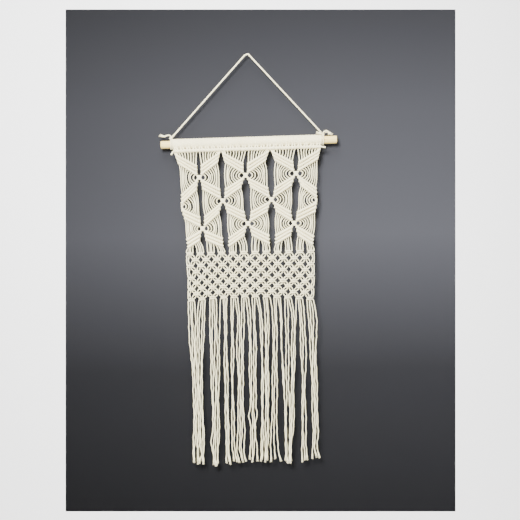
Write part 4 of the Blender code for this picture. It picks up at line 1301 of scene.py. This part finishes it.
def board_paint_with_painted_light():
    """Dark paint with painted light and shade, paler towards one side and above the middle."""
    material = one_sided("dark board", BOARD_COLOUR)
    tree = material.node_tree
    x, _, z = separate(tree, tree.nodes.new("ShaderNodeTexCoord").outputs["Object"])
    # painted light and shade: darker at the board's foot, palest a little above its middle
    ramp = tree.nodes.new("ShaderNodeValToRGB")
    for _ in range(len(BOARD_PAINTED_LIGHT) - 2):
        ramp.color_ramp.elements.new(0.5)
    for stop, (height, pale) in zip(ramp.color_ramp.elements, BOARD_PAINTED_LIGHT):
        stop.position = height
        stop.color = (*(pale * tint for tint in BOARD_TINT), 1.0)
    tree.links.new(over_board(tree, z, BOARD_MIDDLE[2], BOARD_SIZE[1], 0.0, 1.0), ramp.inputs[0])
    colour = tree.nodes.new("ShaderNodeVectorMath")
    colour.operation = "SCALE"
    tree.links.new(ramp.outputs["Color"], colour.inputs[0])
    tree.links.new(over_board(tree, x, BOARD_MIDDLE[0], BOARD_SIZE[0], *BOARD_PAINTED_SIDE_LIGHT), colour.inputs["Scale"])
    tree.links.new(colour.outputs[0], tree.nodes["Principled BSDF"].inputs["Base Color"])
    return material


# %% [markdown]
# Floor, board and wall are seen from one side only and cast no shadow, so that they don't hide the
# hanging from behind or keep the back light from it. The key light stands high at the left, one is
# over the hanging, and a weak one fills in from the right. The lights are large, because a small
# one would draw hard shadows in the knots.

# %% Stage
FLOOR_HEIGHT = -0.86
FLOOR_SIZE, WALL_SIZE = (6.0, 6.0), (6.0, 4.0)
WORLD_GREY, WORLD_STRENGTH = 0.90, 0.08
# columns: name, where it stands, what it is turned to, its side, its watts and its spread in degrees
LIGHTS = (
    ("key light", (-0.45, -1.75, 0.45), (0.05, 0.0, -0.36), 0.6, 32.0, 80.0),
    ("top light", (-0.2, -0.8, 1.0), (0.0, 0.0, -0.4), 0.8, 24.0, 150.0),
    ("fill light", (1.3, -1.9, 0.1), (0.1, 0.0, -0.2), 1.2, 3.0, 120.0),
    ("back light", (0.5, 1.3, 0.9), (0.0, 0.0, -0.3), 0.8, 16.0, 120.0),
)


def stage_plane(name, size, matrix, material):
    """A flat rectangle of the stage."""
    shape = bmesh.new()
    bmesh.ops.create_grid(shape, x_segments=1, y_segments=1, size=0.5)
    bmesh.ops.scale(shape, vec=(*size, 1.0), verts=shape.verts)
    bmesh.ops.transform(shape, matrix=matrix, verts=shape.verts)
    mesh = bpy.data.meshes.new(name)
    shape.to_mesh(mesh)
    shape.free()
    mesh.materials.append(material)
    plane = put(name, mesh)
    plane.visible_shadow = False


def soft_light(name, spot, aim, size, watts, spread_angle):
    """A large square light at a spot, turned to a point."""
    data = bpy.data.lights.new(name, "AREA")
    data.shape = "SQUARE"
    data.size = size
    data.energy = watts
    data.spread = math.radians(spread_angle)
    direction = Vector(aim) - Vector(spot)
    turned = direction.to_track_quat("-Z", "Y").to_matrix().to_4x4()
    put(name, data).matrix_world = Matrix.Translation(spot) @ turned


upright = Matrix.Rotation(CAMERA_ROLL, 4, "Y") @ Matrix.Rotation(math.pi / 2, 4, "X")
stage_plane("floor", FLOOR_SIZE, Matrix.Translation((0.0, 0.0, FLOOR_HEIGHT)),
            one_sided("pale floor", FLOOR_COLOUR))
stage_plane("dark board", BOARD_SIZE, Matrix.Translation(BOARD_MIDDLE) @ upright, board_paint_with_painted_light())
stage_plane("pale wall", WALL_SIZE, Matrix.Translation((0.0, WALL_Y, 0.0)) @ upright,
            one_sided("pale wall", WALL_COLOUR))
for columns in LIGHTS:
    soft_light(*columns)
world = bpy.data.worlds.new("studio")
bpy.context.scene.world = world
world.use_nodes = True
background = world.node_tree.nodes["Background"]
background.inputs["Color"].default_value = (WORLD_GREY, WORLD_GREY, WORLD_GREY, 1.0)
background.inputs["Strength"].default_value = WORLD_STRENGTH
print("stage:", ", ".join(columns[0] for columns in LIGHTS))

# %% [markdown]
# ## Update
# The view layer is updated once more at the end.

# %% Update
bpy.context.view_layer.update()
